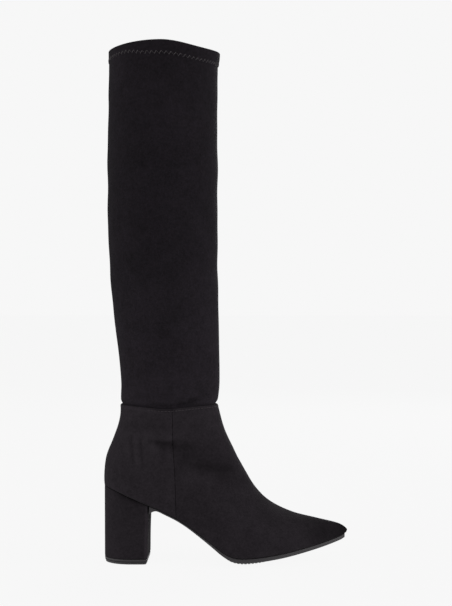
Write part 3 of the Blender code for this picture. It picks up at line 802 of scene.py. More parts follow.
back, breast, _, outline = lift_outline(0.0)
grooves, deep = groove_rows(back + TREAD_BORDER, breast - TREAD_BORDER)
turn = HEEL_BACK_ROUND * (1 - np.cos(np.linspace(0, math.pi / 6, 8)))
turn = turn[(turn > 0.0010) & (turn < TREAD_BORDER - 0.0003)]  # clear of the rim and of the tread
at_back = back + np.array([*RIM_STEPS, *turn])
at_breast = breast - np.array([*BREAST_STEPS, *RIM_STEPS[::-1]])
rows = np.concatenate([at_back, grooves, at_breast])
deep = np.concatenate([np.zeros(len(at_back)), deep, np.zeros(len(at_breast))])
bm = ribbed_sheet(rows, deep, outline, (back, breast), lambda x, y: 0 * x)
sheet, at = bm.faces[:], 0.0
for height in (*LIFT_LINE, LIFT_THICKNESS):
    before, after = lift_outline(at), lift_outline(height / LIFT_THICKNESS)

    def place(x, y):
        x = mix(after[0], after[1], (x - before[0]) / (before[1] - before[0]))
        y = y * after[2] / before[2]
        if height < LIFT_THICKNESS:
            return x, y, np.full_like(x, height)
        return x, y, height - rolled(*from_rim(x, y, after[3], after[:2]))

    sheet = raised(bm, sheet, place)
    at = height / LIFT_THICKNESS
lift_middle = Vector(HEEL_BACK + [(back + breast) / 2, 0, LIFT_LINE[1]])
for vert in bm.verts:
    if abs(vert.co.z - LIFT_LINE[1]) < 1e-6:
        vert.co += (lift_middle - vert.co).normalized() * LIFT_LINE_DEPTH
face_outwards(bm)
lift = finished("ribbed_heel_lift", bm, rubber, sharp_angle=40)

for piece, name in ((outsole, "outsole"), (lift, "heel_lift")):
    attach(piece, "boot")
    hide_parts(name)


# ---------------------------------------------------------------- heel cover
# A moulded plastic block wrapped in the foot's own suede. The cover is one piece, glued round the
# back and sides with its edges closed down the middle of the breast.

HEEL_COLUMNS = 120
HEEL_FOLDED_IN = 0.004  # how far the cover is turned in over the block's two ends
HEEL_ROLL = 0.0009
HEEL_SEAT_ROLL = 0.0013
HEEL_OVERHANG = 0.0006  # how far the foot stands out over the top of the heel
HEEL_OVERHANG_REACH = 0.0025
HEEL_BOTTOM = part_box("heel_block")[0].z
HEEL_TOP_GAP = 0.0001
HEEL_NAP = -0.1  # as grid_piece reads it
HEEL_PAINTED_SHADE_UNDER_SEAT = 0.7
HEEL_PAINTED_SHADE_REACH = 0.006
HEEL_PAINTED_LIGHT_AT_CORNER = -0.9  # the cover is stretched over the breast's corners, which are drawn paler as painted light
HEEL_BACK_FADE = (0.008, 0.018)  # along; the seat's roll and painted shade fade to the back and the breast
HEEL_BREAST_FADE = (0.0441, 0.0321)
HEEL_BACK_LEAST = 0.08  # the share of the roll that is left at the back
HEEL_BREAST_LEAST = 0.15
HEEL_CORNER_LIGHT_FADE = (0.85, 0.87)  # shares of the half width, between the breast and its corner
HEEL_CORNER_LIGHT_SOFT = 0.0008  # how far along the corners' painted light takes to fade in

# Rows of the cover's mesh, from the lift (0) to the seat (1), each end row turned in
HEEL_LEVELS = np.array([
    0, 0, 0.002, 0.005, 0.009, 0.014, *np.linspace(0.03, 0.96, 46), 0.985, 0.991, 0.995, 0.998, 1, 1,
])

HEEL = (
    # up, back, breast, half width
    (0.0, 0.0007, 0.0428, 0.0240),
    (0.5, 0.0006, 0.0431, 0.0244),
    (1.0, 0.0005, 0.0441, 0.0256),
)


def heel_outline(t, inset):
    """Points round one level slice, from the middle of the breast round the back and home again."""
    back, breast, half = (smooth(HEEL, t, column) for column in (1, 2, 3))
    half = half - inset
    x = mix(breast - inset, back + inset, (1 - np.cos(np.linspace(0, math.pi, 200))) / 2)
    side = half * round_end(x - back - inset, HEEL_BACK_ROUND)
    side *= mix(HEEL_BREAST_SHARE, 1, round_end(breast - inset - x, HEEL_CORNER_ROUND))
    breast_y = np.linspace(0, side[0], 40)[:-1]
    one_side = np.concatenate([
        np.stack([np.full_like(breast_y, breast - inset), breast_y], axis=1),
        np.stack([x, side], axis=1),
    ])
    outline = np.concatenate([one_side, one_side[-2::-1] * [1, -1]])
    travelled = travelled_along(outline)
    even = np.linspace(0, travelled[-1], HEEL_COLUMNS + 1)
    return np.stack([np.interp(even, travelled, outline[:, n]) for n in (0, 1)], axis=1)


insets = np.zeros(len(HEEL_LEVELS))
insets[[0, -1]] = HEEL_FOLDED_IN
rings = []
for inset, t in zip(insets, HEEL_LEVELS):
    outline = heel_outline(t, inset)
    top = seat_height(outline[:, 0], outline[:, 1]) - HEEL_TOP_GAP
    rings.append(np.column_stack([outline, mix(HEEL_BOTTOM, top, t)]))
rings = np.array(rings)
from_floor, from_seat = edge_distances(rings[1:-1])
overhung = HEEL_OVERHANG * np.exp(-(from_seat / HEEL_OVERHANG_REACH) ** 2)
breast, half = (smooth(HEEL, HEEL_LEVELS, column)[:, None] for column in (2, 3))
shaded = mix(HEEL_BREAST_LEAST, 1, fade(rings[..., 0], *HEEL_BREAST_FADE))
shaded = shaded * fade(rings[..., 0], *HEEL_BACK_FADE)
sunk = rolled(from_floor, HEEL_ROLL)
sunk += (rolled(from_seat, HEEL_SEAT_ROLL) + overhung) * mix(HEEL_BACK_LEAST, 1, shaded[1:-1])
rings[1:-1] -= outward(rings[1:-1]) * sunk[..., None]
corner = breast - HEEL_CORNER_ROUND
# painted light: the breast's corners are drawn paler
painted_corner_light = fade(rings[..., 0], corner, corner + HEEL_CORNER_LIGHT_SOFT)
painted_corner_light *= fade(abs(rings[..., 1]) / half, *HEEL_CORNER_LIGHT_FADE)
nap_and_painted_light = HEEL_NAP + HEEL_PAINTED_LIGHT_AT_CORNER * painted_corner_light
# painted shade under the seat, where the foot overhangs the heel
nap_and_painted_light[1:-1] += HEEL_PAINTED_SHADE_UNDER_SEAT * np.exp(-from_seat / HEEL_PAINTED_SHADE_REACH) * shaded[1:-1]
bm = grid_piece(rings, nap_and_painted_light)
bmesh.ops.remove_doubles(bm, verts=bm.verts, dist=1e-6)
bmesh.ops.holes_fill(bm, edges=[e for e in bm.edges if e.is_boundary], sides=0)
face_outwards(bm)
heel_cover = finished("heel_cover", bm, foot_suede, sharp_angle=60)
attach(heel_cover, "boot")
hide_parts("heel_block")


# ---------------------------------------------------------------- shaft
# A tube of knitted stretch suede, cut as one piece and sewn to the foot at the ankle. Its top is a
# doubled hem, and its inner side is slit for the upper half of the zip.

SHAFT_THICKNESS = 0.0012
ANKLE_SEAM = 0.1495
SHAFT_SHOWS_FROM = 0.1530
COLLAR_HEIGHT = 0.4850
HEM_HEIGHT = 0.0120
HEM_FOOT = COLLAR_HEIGHT - HEM_HEIGHT
COLLAR_ARCH = 0.00525
COLLAR_FRONT_POWER = 6
COLLAR_BACK_POWER = 2
COLLAR_DIP = 0.00125
ARCH_STARTS = 0.4300
RIM_ROLL = 0.0009
SLOT_TOP = 0.2090  # the slit starts to close here, under the slider
SLOT_END = 0.2125
SHAFT_COLUMNS = 186
SHAFT_ROUND = 0.29  # about how far it is round the shaft
SHAFT_PALER_AT_ANKLE = 0.8  # how much paler it is drawn at the ankle
SHAFT_PALER_FADE = (0.30, 0.15)
ANKLE_SAG_FADE = (0.175, 0.155)
RIPPLE_DEPTH = 0.00022
RIPPLE_FADES = ((0.225, 0.275), (0.468, 0.438))  # heights between which they come and go
RIPPLES = (
    # share, height of one ripple, how far it leans, leans round the leg, phase
    (1.0, 0.061, 0.6, 1, 0.7),
    (0.7, 0.037, 0.8, 2, 2.1),
)
RIPPLE_FLUTES = (0.5, 3, 0.024)  # share, flutes round the leg, height in which they turn

SHAFT = (
    # height, back, front, half width
    (0.1415, 0.0183, 0.1076, 0.0310),
    (0.1490, 0.0180, 0.1060, 0.0308),
    (0.1506, 0.0174, 0.1066, 0.0312),
    (0.1530, 0.0162, 0.1082, 0.0326),
    (0.1580, 0.0160, 0.1092, 0.0338),
    (0.1680, 0.0163, 0.1101, 0.0350),
    (0.1820, 0.0154, 0.1102, 0.0363),
    (0.1990, 0.0137, 0.1099, 0.0380),
    (0.2180, 0.0112, 0.1096, 0.0402),
    (0.2380, 0.0088, 0.1093, 0.0425),
    (0.2770, 0.0052, 0.1090, 0.0460),
    (0.3210, 0.0031, 0.1086, 0.0485),
    (0.3860, 0.0029, 0.1088, 0.0495),
    (0.4400, 0.0039, 0.1085, 0.0492),
    (0.4722, 0.0048, 0.1085, 0.0490),
)
HEM = (
    # height, back, front, half width
    (0.4730, 0.0043, 0.1091, 0.0496),
    (0.4790, 0.0043, 0.1102, 0.0495),
    (0.4850, 0.0042, 0.1107, 0.0493),
)

# The stretch suede is gathered a little where it is sewn to the foot
SHAFT_CREASES = (
    # along and height of one end, of the other end, half width, depth
    (0.0480, 0.1528, 0.0840, 0.1522, 0.0015, 0.0007),
    (0.0720, 0.1524, 0.0880, 0.1548, 0.0018, 0.0011),
    (0.0820, 0.1560, 0.0990, 0.1590, 0.0018, 0.0010),
    (0.0300, 0.1560, 0.0440, 0.1590, 0.0024, 0.0005),
    (0.0700, 0.1610, 0.0980, 0.1580, 0.0016, -0.0004),
    (0.0880, 0.1640, 0.0980, 0.1610, 0.0018, 0.0004),
    (0.0500, 0.1560, 0.0660, 0.1552, 0.0014, -0.0003),
    (0.0560, 0.1600, 0.0640, 0.1640, 0.0020, 0.0003),
)

HEM_RISE_HEIGHTS = (-0.020, -0.003, 0.003, 0.0115)  # from the hem's foot: it comes, stays and goes
HEM_RISE = (
    # along, how much higher the hem's stitched edge lies there on the outer side
    (0.0045, 0.0022),
    (0.0120, 0.0030),
    (0.0220, 0.0034),
    (0.0280, 0.0026),
    (0.0360, 0.0008),
    (0.0460, -0.0004),
    (0.0600, -0.0008),
    (0.0800, -0.0007),
    (0.0950, -0.0005),
    (0.1105, 0.0000),
)

# Where the seam above the slit runs, and the slit itself
SHAFT_LINE = ZIP_LINE[-5:] + (
    # height, along
    (0.2600, 0.0520),
    (0.3400, 0.0535),
    (0.4850, 0.0565),
)


def shaft_size(z, column):
    return np.where(z < HEM[0][0], smooth(SHAFT, z, column), smooth(HEM, z, column))


def shaft_points(angle, z):
    """Points of the shaft's outer face, angle 0 at the back and pi in front, outer side first."""
    back, front, half = (shaft_size(z, column) for column in (1, 2, 3))
    arch = fade(z, ARCH_STARTS, HEM_FOOT)
    forward = np.maximum(-np.cos(angle), 0)
    power = np.where(forward > 0, COLLAR_FRONT_POWER, COLLAR_BACK_POWER)
    rim = COLLAR_ARCH * np.abs(np.sin(angle)) ** power - COLLAR_DIP * forward
    x = (back + front) / 2 - (front - back) / 2 * np.cos(angle)
    return np.stack([x, -half * np.sin(angle), z + rim * arch ** 2], axis=-1)


def hem_rise(points, height):
    """How far the hem's stitched edge is drawn up at these points, cut at this height."""
    near = np.interp(height - HEM_FOOT, HEM_RISE_HEIGHTS, (0, 1, 1, 0))
    return smooth(HEM_RISE, points[..., 0], 1) * outer_side(points[..., 1]) * near


def shaft_angle(z, along):
    """The inner side's angle at this place along, from 0 at the back to pi in front."""
    back, front = shaft_size(z, 1), shaft_size(z, 2)
    return np.arccos(np.clip((back + front - 2 * along) / (front - back), -1, 1))


def shaft_half_gap(z):
    return zip_half_gap(z) * np.sqrt(fade(z, SLOT_END, SLOT_TOP))


# Rows of the shaft's mesh, close together at the ankle, the hem and the collar
heights = np.concatenate([
    [0.1440, 0.1490, 0.1506, 0.1518, 0.1530, 0.1545, 0.1562],
    np.arange(0.1580, 0.4705, 0.0019),
    [0.4712, 0.4719, 0.4723, 0.4730, 0.4735, 0.4745, 0.4765, 0.4785, 0.4805, 0.4822],
    COLLAR_HEIGHT - np.array(EDGE_STEPS[::-1]),
])
line, gap = smooth(SHAFT_LINE, heights, 1), shaft_half_gap(heights)
behind = -shaft_angle(heights, line - gap)[:, None]
ahead = 2 * math.pi - shaft_angle(heights, line + gap)[:, None]
edge_share = np.array(EDGE_STEPS) / SHAFT_ROUND
around = np.linspace(0, 1, SHAFT_COLUMNS)[3:-3]
around = np.concatenate([edge_share, around, 1 - edge_share[::-1]])
angles = mix(ahead, behind, around)
points = shaft_points(angles, np.repeat(heights[:, None], len(around), axis=1))
y, z = points[..., 1], points[..., 2]
from_seam = np.minimum(*edge_distances(points.transpose(1, 0, 2))).T
sunk = rolled(from_seam, SEAM_ROLL * gap[:, None] / ZIP_GAP[-1][1])
sunk += rolled(edge_distances(points)[1], RIM_ROLL)
share, flutes, turn = RIPPLE_FLUTES
ripple = share * (1 + np.sin(flutes * angles + z / turn))
for share, height, lean, leans, phase in RIPPLES:
    ripple += share * (1 + np.sin(2 * math.pi * (z / height + lean * np.sin(leans * angles + phase))))
sunk += RIPPLE_DEPTH * ripple * fade(z, *RIPPLE_FADES[0]) * fade(z, *RIPPLE_FADES[1])
creased = outer_side(y) * sum(trough(points, *crease) for crease in SHAFT_CREASES)
shaft_grid = points - outward(points) * (sunk + creased)[..., None]
shaft_grid[..., 2] += hem_rise(points, heights[:, None])
shaft_grid[..., 2] -= ankle_sag(points) * fade(z, *ANKLE_SAG_FADE)
# the shaft is drawn paler towards the ankle
paler_at_ankle = SHAFT_PALER_AT_ANKLE * fade(z, *SHAFT_PALER_FADE)
# painted shade in the gathers at the ankle
bm = grid_piece(shaft_grid, creased / CREASE_SHADE_DEPTH - paler_at_ankle)
bmesh.ops.remove_doubles(bm, verts=bm.verts, dist=2e-6)
face_away(bm, along=0.06, height=0.3)
shaft_suede = faux_suede("black_stretch_microfibre_suede", "#141214", "#252126")
shaft = finished("shaft_tube", bm, shaft_suede, lining)
thicken(shaft, SHAFT_THICKNESS)
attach(shaft, "boot")
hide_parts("shaft")


# ---------------------------------------------------------------- zip tape and coil
# A nylon coil zip: two woven tapes sewn behind the slit's edges, each with a coil of thick
# monofilament stitched along it. The turns of the two coils lie between each other.

TAPE_DEPTH = 0.0011  # how far the tape's face lies behind the suede's
TAPE_THICKNESS = 0.0004
TAPE_INSET = 0.0001  # the tape's sides, inside the slit's edges
TAPE_LEAST = 0.0002  # its half width where the slit is shut
TAPE_BELOW_COIL = 0.002
TAPE_LANES = 9
COIL_DEPTH = 0.00072
COIL_PITCH = 0.00132
COIL_TURN = (0.00098, 0.00100, 0.00300)  # along the zip, in depth and across it
COIL_OFF_CENTRE = 0.00132
COIL_SLANT = math.radians(20)
COIL_BOTTOM = 0.0488
SLIDER_HEIGHT = 0.2060
CHAIN_TOP = SLIDER_HEIGHT + 0.0030
CHAIN_STATIONS = 180
EVENED_STEP = 0.002  # between the heights whose mean on_leg takes


def foot_inner_side(x, z):
    """How far the foot's inner side is from the middle, at this place along and this height."""
    def is_past(up):
        back, front = ring_ends(up)
        return foot_side_point((x - back) / (front - back), up)[1] >= z

    return sum(foot_sides(x, halved(np.zeros_like(x), np.ones_like(x), is_past)))


def shaft_inner_side(x, z):
    """The same for the shaft's inner side."""
    back, front, half = (smooth(SHAFT, z, column) for column in (1, 2, 3))
    return half * np.sqrt(1 - ((2 * x - back - front) / (front - back)) ** 2)


def on_leg(x, z):
    """Points on the leg's inner side, evened out where the shaft tucks into the foot."""
    sides = []
    for step in range(-3, 4):
        h = z + step * EVENED_STEP
        shaft_side = shaft_inner_side(x, np.maximum(h, SHAFT_SHOWS_FROM))
        sides.append(np.where(h < ANKLE_SEAM, foot_inner_side(x, np.minimum(h, ANKLE_SEAM)), shaft_side))
    return np.stack([x, np.mean(sides, axis=0), z], axis=-1)


def unit(vectors):
    return vectors / np.linalg.norm(vectors, axis=-1, keepdims=True)


def beads(name, places, surface):
    """One piece that holds a ball 1 m across at each of these places, drawn out as its matrix says."""
    ball, bm, bead = bmesh.new(), bmesh.new(), bpy.data.meshes.new("bead")
    bmesh.ops.create_uvsphere(ball, u_segments=8, v_segments=6, radius=0.5)
    for place in places:
        ball.to_mesh(bead)
        bead.transform(place)
        bm.from_mesh(bead)
    ball.free()
    bpy.data.meshes.remove(bead)
    face_outwards(bm)
    return finished(name, bm, surface)


def inner_relief(points, z):
    """How far points on the leg's inner side have sunk into the foot's creases."""
    return (foot_relief(points[None], 1)[0] * (z < ANKLE_SEAM))[..., None]


def zip_frames(z):
    """For each height of the zip: the point on the leg, and the ways across it, up it and out."""
    step = 0.001
    x = smooth(ZIP_LINE, z, 1)
    above, below = (on_leg(smooth(ZIP_LINE, h, 1), h) for h in (z + step, z - step))
    up = unit(above - below)
    out = unit(np.cross(on_leg(x + step, z) - on_leg(x - step, z), up))
    out = out * np.sign(out[..., 1:2])
    here = on_leg(x, z)
    return here - out * inner_relief(here, z) + HEEL_BACK, np.cross(out, up), up, out


def woven_tape(name, dark, light):
    """Polyester tape in a 1 mm rib weave, dyed black: matt, with a fine grain up and across it."""
    made, tree, shader = new_material(name, Roughness=0.85, Specular_IOR_Level=0.2)
    place = add_node(tree, "TexCoord").outputs["Object"]
    ribs = add_node(tree, "TexWave", {"Vector": place, "Scale": 0.5 / 0.0009, "Distortion": 0.6},
                    bands_direction="Z")
    colour = add_node(tree, "Mix", {0: ribs.outputs["Fac"], 6: linear(dark), 7: linear(light)},
                      data_type="RGBA")
    bump = add_node(tree, "Bump", {"Height": ribs.outputs["Fac"], "Strength": 0.5, "Distance": 0.0001})
    feed(shader, {"Base Color": colour.outputs[2], "Normal": bump.outputs["Normal"]})
    return made


def clouded(name, dark, light, patch, detail, **sockets):
    """A material whose colour drifts from dark to light in soft patches of this size."""
    made, tree, shader = new_material(name, **sockets)
    place = add_node(tree, "TexCoord").outputs["Object"]
    cloud = add_node(tree, "TexNoise", {"Vector": place, "Scale": 1 / patch, "Detail": detail})
    cloud = cloud.outputs["Fac"]
    colour = add_node(tree, "Mix", {0: cloud, 6: linear(dark), 7: linear(light)}, data_type="RGBA")
    feed(shader, {"Base Color": colour.outputs[2]})
    return made, tree, shader, cloud


stations = np.linspace(COIL_BOTTOM - TAPE_BELOW_COIL, CHAIN_TOP, CHAIN_STATIONS)
here, across, up, out = zip_frames(stations)
half_widths = np.maximum(zip_half_gap(stations) - TAPE_INSET, TAPE_LEAST)
lanes = np.linspace(-1, 1, TAPE_LANES)
tape_points = here[:, None] + across[:, None] * (half_widths[:, None] * lanes)[..., None]
bm = grid_piece(tape_points - (out * TAPE_DEPTH)[:, None] - HEEL_BACK)
face_away(bm, along=0.07, height=0.12)
tape = finished("zip_tape", bm, woven_tape("black_woven_tape", "#1A181A", "#2C292B"))
thicken(tape, TAPE_THICKNESS)

# Extruded nylon 66 filament, heat set into a coil and dyed: a smooth half-gloss, worn in patches
nylon = clouded("dark_nylon_monofilament", "#423E40", "#534F51", 0.008, 3.0,
                Roughness=0.42, IOR=1.53, Specular_IOR_Level=0.5)[0]
places = []
heights = np.arange(COIL_BOTTOM, CHAIN_TOP, COIL_PITCH / 2)
shares = np.minimum(zip_half_gap(heights) / ZIP_GAP[-1][1], 1)
for turn, (here, across, up, out, share) in enumerate(zip(*zip_frames(heights), shares)):
    side = 1 if turn % 2 else -1
    turned = Matrix((up, out, across)).transposed() @ Matrix.Rotation(side * COIL_SLANT, 3, "Y")
    place = here + across * (side * COIL_OFF_CENTRE * share) - out * COIL_DEPTH
    size = Matrix.Diagonal((*COIL_TURN[:2], COIL_TURN[2] * share, 1))
    places.append(Matrix.Translation(place) @ turned.to_4x4() @ size)
coil = beads("zip_coil", places, nylon)
for piece in (tape, coil):
    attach(piece, "boot")
    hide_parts("zip_chain")


# ---------------------------------------------------------------- zip slider and pull
# Both are cast in zinc and coated with black lacquer. The slider's plate is ridged at its rim, with a
# ridge up its middle and the bridge on it, which the pull's eye goes round. The pull hangs loose.

PLATE = (0.0076, 0.0125, 0.0013)  # across, up and out
PLATE_BASE = 0.0003  # its underside above the leg
PLATE_NARROWS = 0.78
PLATE_CORNER = 0.0019
PLATE_RIM_WIDTH = 0.0009
PLATE_SUNK = 0.00034
PLATE_EDGE_ROUND = 0.00022
RIDGE = (0.0016, 0.0078, 0.0006)
RIDGE_ROUND = 0.0004
RIDGE_BEDDED = 0.0001  # how far the ridge and the bridge's feet go into the plate
BRIDGE_BEDDED = 0.0002
BRIDGE_WIDTH = 0.0016
BRIDGE_INNER = 0.00135
BRIDGE_OUTER = 0.00235
SLIDER_EDGE_ROUND = 0.00012
PIVOT_OUT = 0.00305
PULL_THICKNESS = 0.0014
PULL_EDGE = 0.00060

# Half of the pull's outline, of its slot and of its eye, hanging down from the pivot
PULL_OUTLINE = (
    # below the pivot, half width
    (-0.0008, 0.0012),
    (-0.0002, 0.0023),
    (0.0028, 0.0024),
    (0.0055, 0.0034),
    (0.0085, 0.0050),
    (0.0115, 0.0055),
    (0.0138, 0.0043),
    (0.0153, 0.0018),
)
PULL_SLOT = (
    # below the pivot, half width
    (0.0051, 0.0006),
    (0.0062, 0.0011),
    (0.0085, 0.0014),
    (0.0110, 0.0014),
    (0.0122, 0.0010),
)
PULL_EYE = (
    # below the pivot, half width
    (0.0009, 0.0010),
    (0.0027, 0.0010),
)


def block(bm, size, centre):
    """A cube of this size added to a bmesh, as its new vertices."""
    place = Matrix.Translation(centre) @ Matrix.Diagonal((*size, 1))
    return bmesh.ops.create_cube(bm, size=1, matrix=place)["verts"]


# Zinc die casting, barrelled smooth and dipped in black lacquer: a deep gloss, rubbed here and there
lacquer, tree, shader, rubbed_off = clouded("black_lacquered_zinc", "#0E0D0E", "#1C1A1C", 0.003, 4.0,
                                            Roughness=0.2, IOR=1.5, Coat_Weight=0.6,
                                            Coat_Roughness=0.06)
gloss = add_node(tree, "MapRange", {"Value": rubbed_off, "To Min": 0.12, "To Max": 0.3})
feed(shader, {"Roughness": gloss.outputs[0]})
here, across, up, out = (Vector(v[0]) for v in zip_frames(np.array([SLIDER_HEIGHT])))
slider_frame = Matrix.Translation(here) @ Matrix((across, up, out)).transposed().to_4x4()

bm = bmesh.new()
plate = block(bm, PLATE, (0, 0, PLATE_BASE + PLATE[2] / 2))
for vert in plate:
    if vert.co.y < 0:
        vert.co.x *= PLATE_NARROWS
rounded(bm, [e for e in bm.edges if e.verts[0].co.xy == e.verts[1].co.xy], PLATE_CORNER, 6)
face = max(bm.faces, key=lambda f: f.calc_center_median().z)
bmesh.ops.inset_region(bm, faces=[face], thickness=PLATE_RIM_WIDTH)
bmesh.ops.translate(bm, verts=face.verts, vec=(0, 0, -PLATE_SUNK))
bm.normal_update()
sharp = [e for e in bm.edges if e.calc_face_angle() > math.radians(20) and e.calc_length() > 0]
top_edges = [e for e in sharp if min(v.co.z for v in e.verts) > PLATE_BASE + PLATE[2] / 2
             and abs(e.verts[0].co.z - e.verts[1].co.z) < 1e-6]
rounded(bm, top_edges, PLATE_EDGE_ROUND, 3)

plate_top = PLATE_BASE + PLATE[2] - PLATE_SUNK
ridge = block(bm, RIDGE, (0, 0, plate_top + RIDGE[2] / 2 - RIDGE_BEDDED))
ridge_top = [e for e in bm.edges if all(v in ridge for v in e.verts)
             and min(v.co.z for v in e.verts) > plate_top]
rounded(bm, ridge_top, RIDGE_ROUND, 4)

start = bmesh.ops.create_grid(bm, x_segments=1, y_segments=1, size=0.5)["verts"]
for vert in start:
    across_arch = mix(BRIDGE_INNER, BRIDGE_OUTER, vert.co.y + 0.5)
    vert.co = (vert.co.x * BRIDGE_WIDTH, across_arch, PIVOT_OUT)
bmesh.ops.spin(bm, geom=list({f for v in start for f in v.link_faces}) + start,
               cent=(0, 0, PIVOT_OUT), axis=(1, 0, 0), angle=math.pi, steps=18, use_merge=False)
ends = [f for f in bm.faces if abs(f.calc_center_median().z - PIVOT_OUT) < 1e-6 and abs(f.normal.z) > 0.5]
for end in ends:
    leg = bmesh.ops.extrude_face_region(bm, geom=[end, *end.edges])["geom"]
    moved = [v for v in leg if isinstance(v, bmesh.types.BMVert)]
    bmesh.ops.translate(bm, verts=moved, vec=(0, 0, plate_top - BRIDGE_BEDDED - PIVOT_OUT))
bmesh.ops.remove_doubles(bm, verts=bm.verts, dist=1e-7)
bmesh.ops.transform(bm, matrix=slider_frame, verts=bm.verts)
face_outwards(bm)
slider = finished("zip_slider_body", bm, lacquer, sharp_angle=35)
slider_edge = slider.modifiers.new("edge", "BEVEL")
slider_edge.width = SLIDER_EDGE_ROUND
slider_edge.segments = 2
slider_edge.limit_method = "ANGLE"
slider_edge.angle_limit = math.radians(40)
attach(slider, "boot")
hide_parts("zip_slider")

flat = bpy.data.curves.new("pull_outline", "CURVE")
flat.dimensions = "2D"
flat.fill_mode = "BOTH"
flat.resolution_u = 6
flat.extrude = PULL_THICKNESS / 2 - PULL_EDGE
flat.bevel_depth = PULL_EDGE
flat.bevel_resolution = 4
flat.offset = -PULL_EDGE
for half in (PULL_OUTLINE, PULL_SLOT, PULL_EYE):
    points = [(width, -below) for below, width in half]
    points += [(-x, y) for x, y in reversed(points)]
    spline = flat.splines.new("BEZIER")
    spline.bezier_points.add(len(points) - 1)
    for point, (x, y) in zip(spline.bezier_points, points):
        point.co = (x, y, 0)
        point.handle_left_type = point.handle_right_type = "AUTO"
    spline.use_cyclic_u = True
drawn = link_piece("pull_outline", flat)
bpy.context.view_layer.update()
mesh = bpy.data.meshes.new_from_object(drawn.evaluated_get(bpy.context.evaluated_depsgraph_get()))
bpy.data.objects.remove(drawn)
bm = bmesh.new()
bm.from_mesh(mesh)
bmesh.ops.remove_doubles(bm, verts=bm.verts, dist=1e-6)
bmesh.ops.transform(bm, verts=bm.verts, matrix=Matrix.Translation(out * PIVOT_OUT) @ slider_frame)
face_outwards(bm)
pull = finished("zip_pull_tab", bm, lacquer, sharp_angle=40)
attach(pull, "pull")
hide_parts("zip_pull")


# ---------------------------------------------------------------- stitching
# Black polyester thread. A lockstitch row holds the foot's folded edge to the shaft, two more hold
# the zip's tapes and meet above the slider, and a paler stretch zigzag holds the hem.

STITCH = 0.0026
STITCH_GAP = 0.0006
THREAD = 0.00045
THREAD_PROUD = 0.0001  # its middle above the cloth
ANKLE_ROW_BELOW = 0.0022
ANKLE_ROW_ENDS = 0.03  # short of the zip, as an angle round the foot
LEG_MIDDLE = 0.061  # along, at the ankle
ZIP_ROW_OFF = (0.0036, 0.0026)  # from the slit's edge, ahead and behind
ZIP_ROWS_START = 0.0500
ZIP_ROWS_MEET = 0.0210  # above the slider's middle
ZIP_ROWS_BOW = 0.004
HEM_RADIUS = 0.0515  # of a circle as long as the hem
HEM_MIDDLE = 0.057  # along
HEM_ZIGZAG = 0.0025
HEM_ZIGZAG_PITCH = 0.0044
HEM_THREAD = (0.00044, 0.00018)  # the rising stitches lie on top, the falling ones are drawn in
HEM_RISE_SHARE = 0.36  # of the pitch
HEM_BENDS = 3
HEM_STITCHES_OVERLAP = 1.5
HEM_ZIGZAG_MIDDLE = HEM_FOOT + 0.0007


def sewn(line, outs, stitch=STITCH, gap=STITCH_GAP, thread=THREAD):
    """Places of stitches along a line of points: each a length of thread whose ends dip into the cloth."""
    places = []
    travelled = travelled_along(line)
    count = int(travelled[-1] // (stitch + gap))

    def at(rows, distance):
        return Vector([np.interp(distance, travelled, rows[:, n]) for n in range(3)])

    for k in range(count):
        middle = (k + 0.5) * travelled[-1] / count
        along = (at(line, middle + stitch / 3) - at(line, middle - stitch / 3)).normalized()
        away = at(outs, middle).normalized()
        turned = Matrix((away.cross(along), away, along)).transposed().to_4x4()
        size = Matrix.Diagonal((thread, thread, stitch, 1))
        places.append(Matrix.Translation(at(line, middle)) @ turned @ size)
    return places


def sewing_thread(name, dark, light):
    """Three-ply polyester sewing thread, glazed: a slight gloss, with its twist as a fine grain."""
    return clouded(name, dark, light, 0.0006, 2.0, Roughness=0.7, Specular_IOR_Level=0.15)[0]


thread = sewing_thread("black_polyester_thread", "#3A3639", "#504A4E")

edge = np.array([1.0])
start = panel_seams(edge, -1)[0][0] + ANKLE_ROW_ENDS
end = panel_seams(edge, 1)[1][0] - ANKLE_ROW_ENDS
angles, levels = np.meshgrid(np.linspace(start, end, 500), np.linspace(0.9, 1, 50))
band = foot_points(angles, levels)
band[..., 2] -= ankle_sag(band) * fade(levels, ANKLE_SAG_FROM, 1)
row = np.array([
    [np.interp(-ANKLE_ROW_BELOW, -below, column[:, n]) for n in range(3)]
    for below, column in zip(edge_distances(band)[1].T, band.transpose(1, 0, 2))
])
outs = (row - [LEG_MIDDLE, 0, 0]) * [1, 1, 0]
places = sewn(row + HEEL_BACK + unit(outs) * THREAD_PROUD, outs)
ankle_row = beads("ankle_topstitch", places, thread)

places = []
heights = np.linspace(ZIP_ROWS_START, SLIDER_HEIGHT + ZIP_ROWS_MEET - ZIP_ROWS_BOW, 260)
here, across, up, out = zip_frames(heights)
ahead = here[:, 0] - HEEL_BACK[0] + zip_half_gap(heights) + ZIP_ROW_OFF[0]
behind = here[:, 0] - HEEL_BACK[0] - zip_half_gap(heights) - ZIP_ROW_OFF[1]
for x in (ahead, behind):
    row = on_leg(x, heights)
    proud = out * (THREAD_PROUD - inner_relief(row, heights))
    places += sewn(row + HEEL_BACK + proud, out)
bow = np.sqrt(np.sin(np.linspace(0, math.pi, 40)))
row = on_leg(np.linspace(behind[-1], ahead[-1], 40), heights[-1] + ZIP_ROWS_BOW * bow)
outs = np.repeat(out[-1:], 40, axis=0)
places += sewn(row + HEEL_BACK + outs * THREAD_PROUD, outs)
zip_rows = beads("zip_topstitch", places, thread)

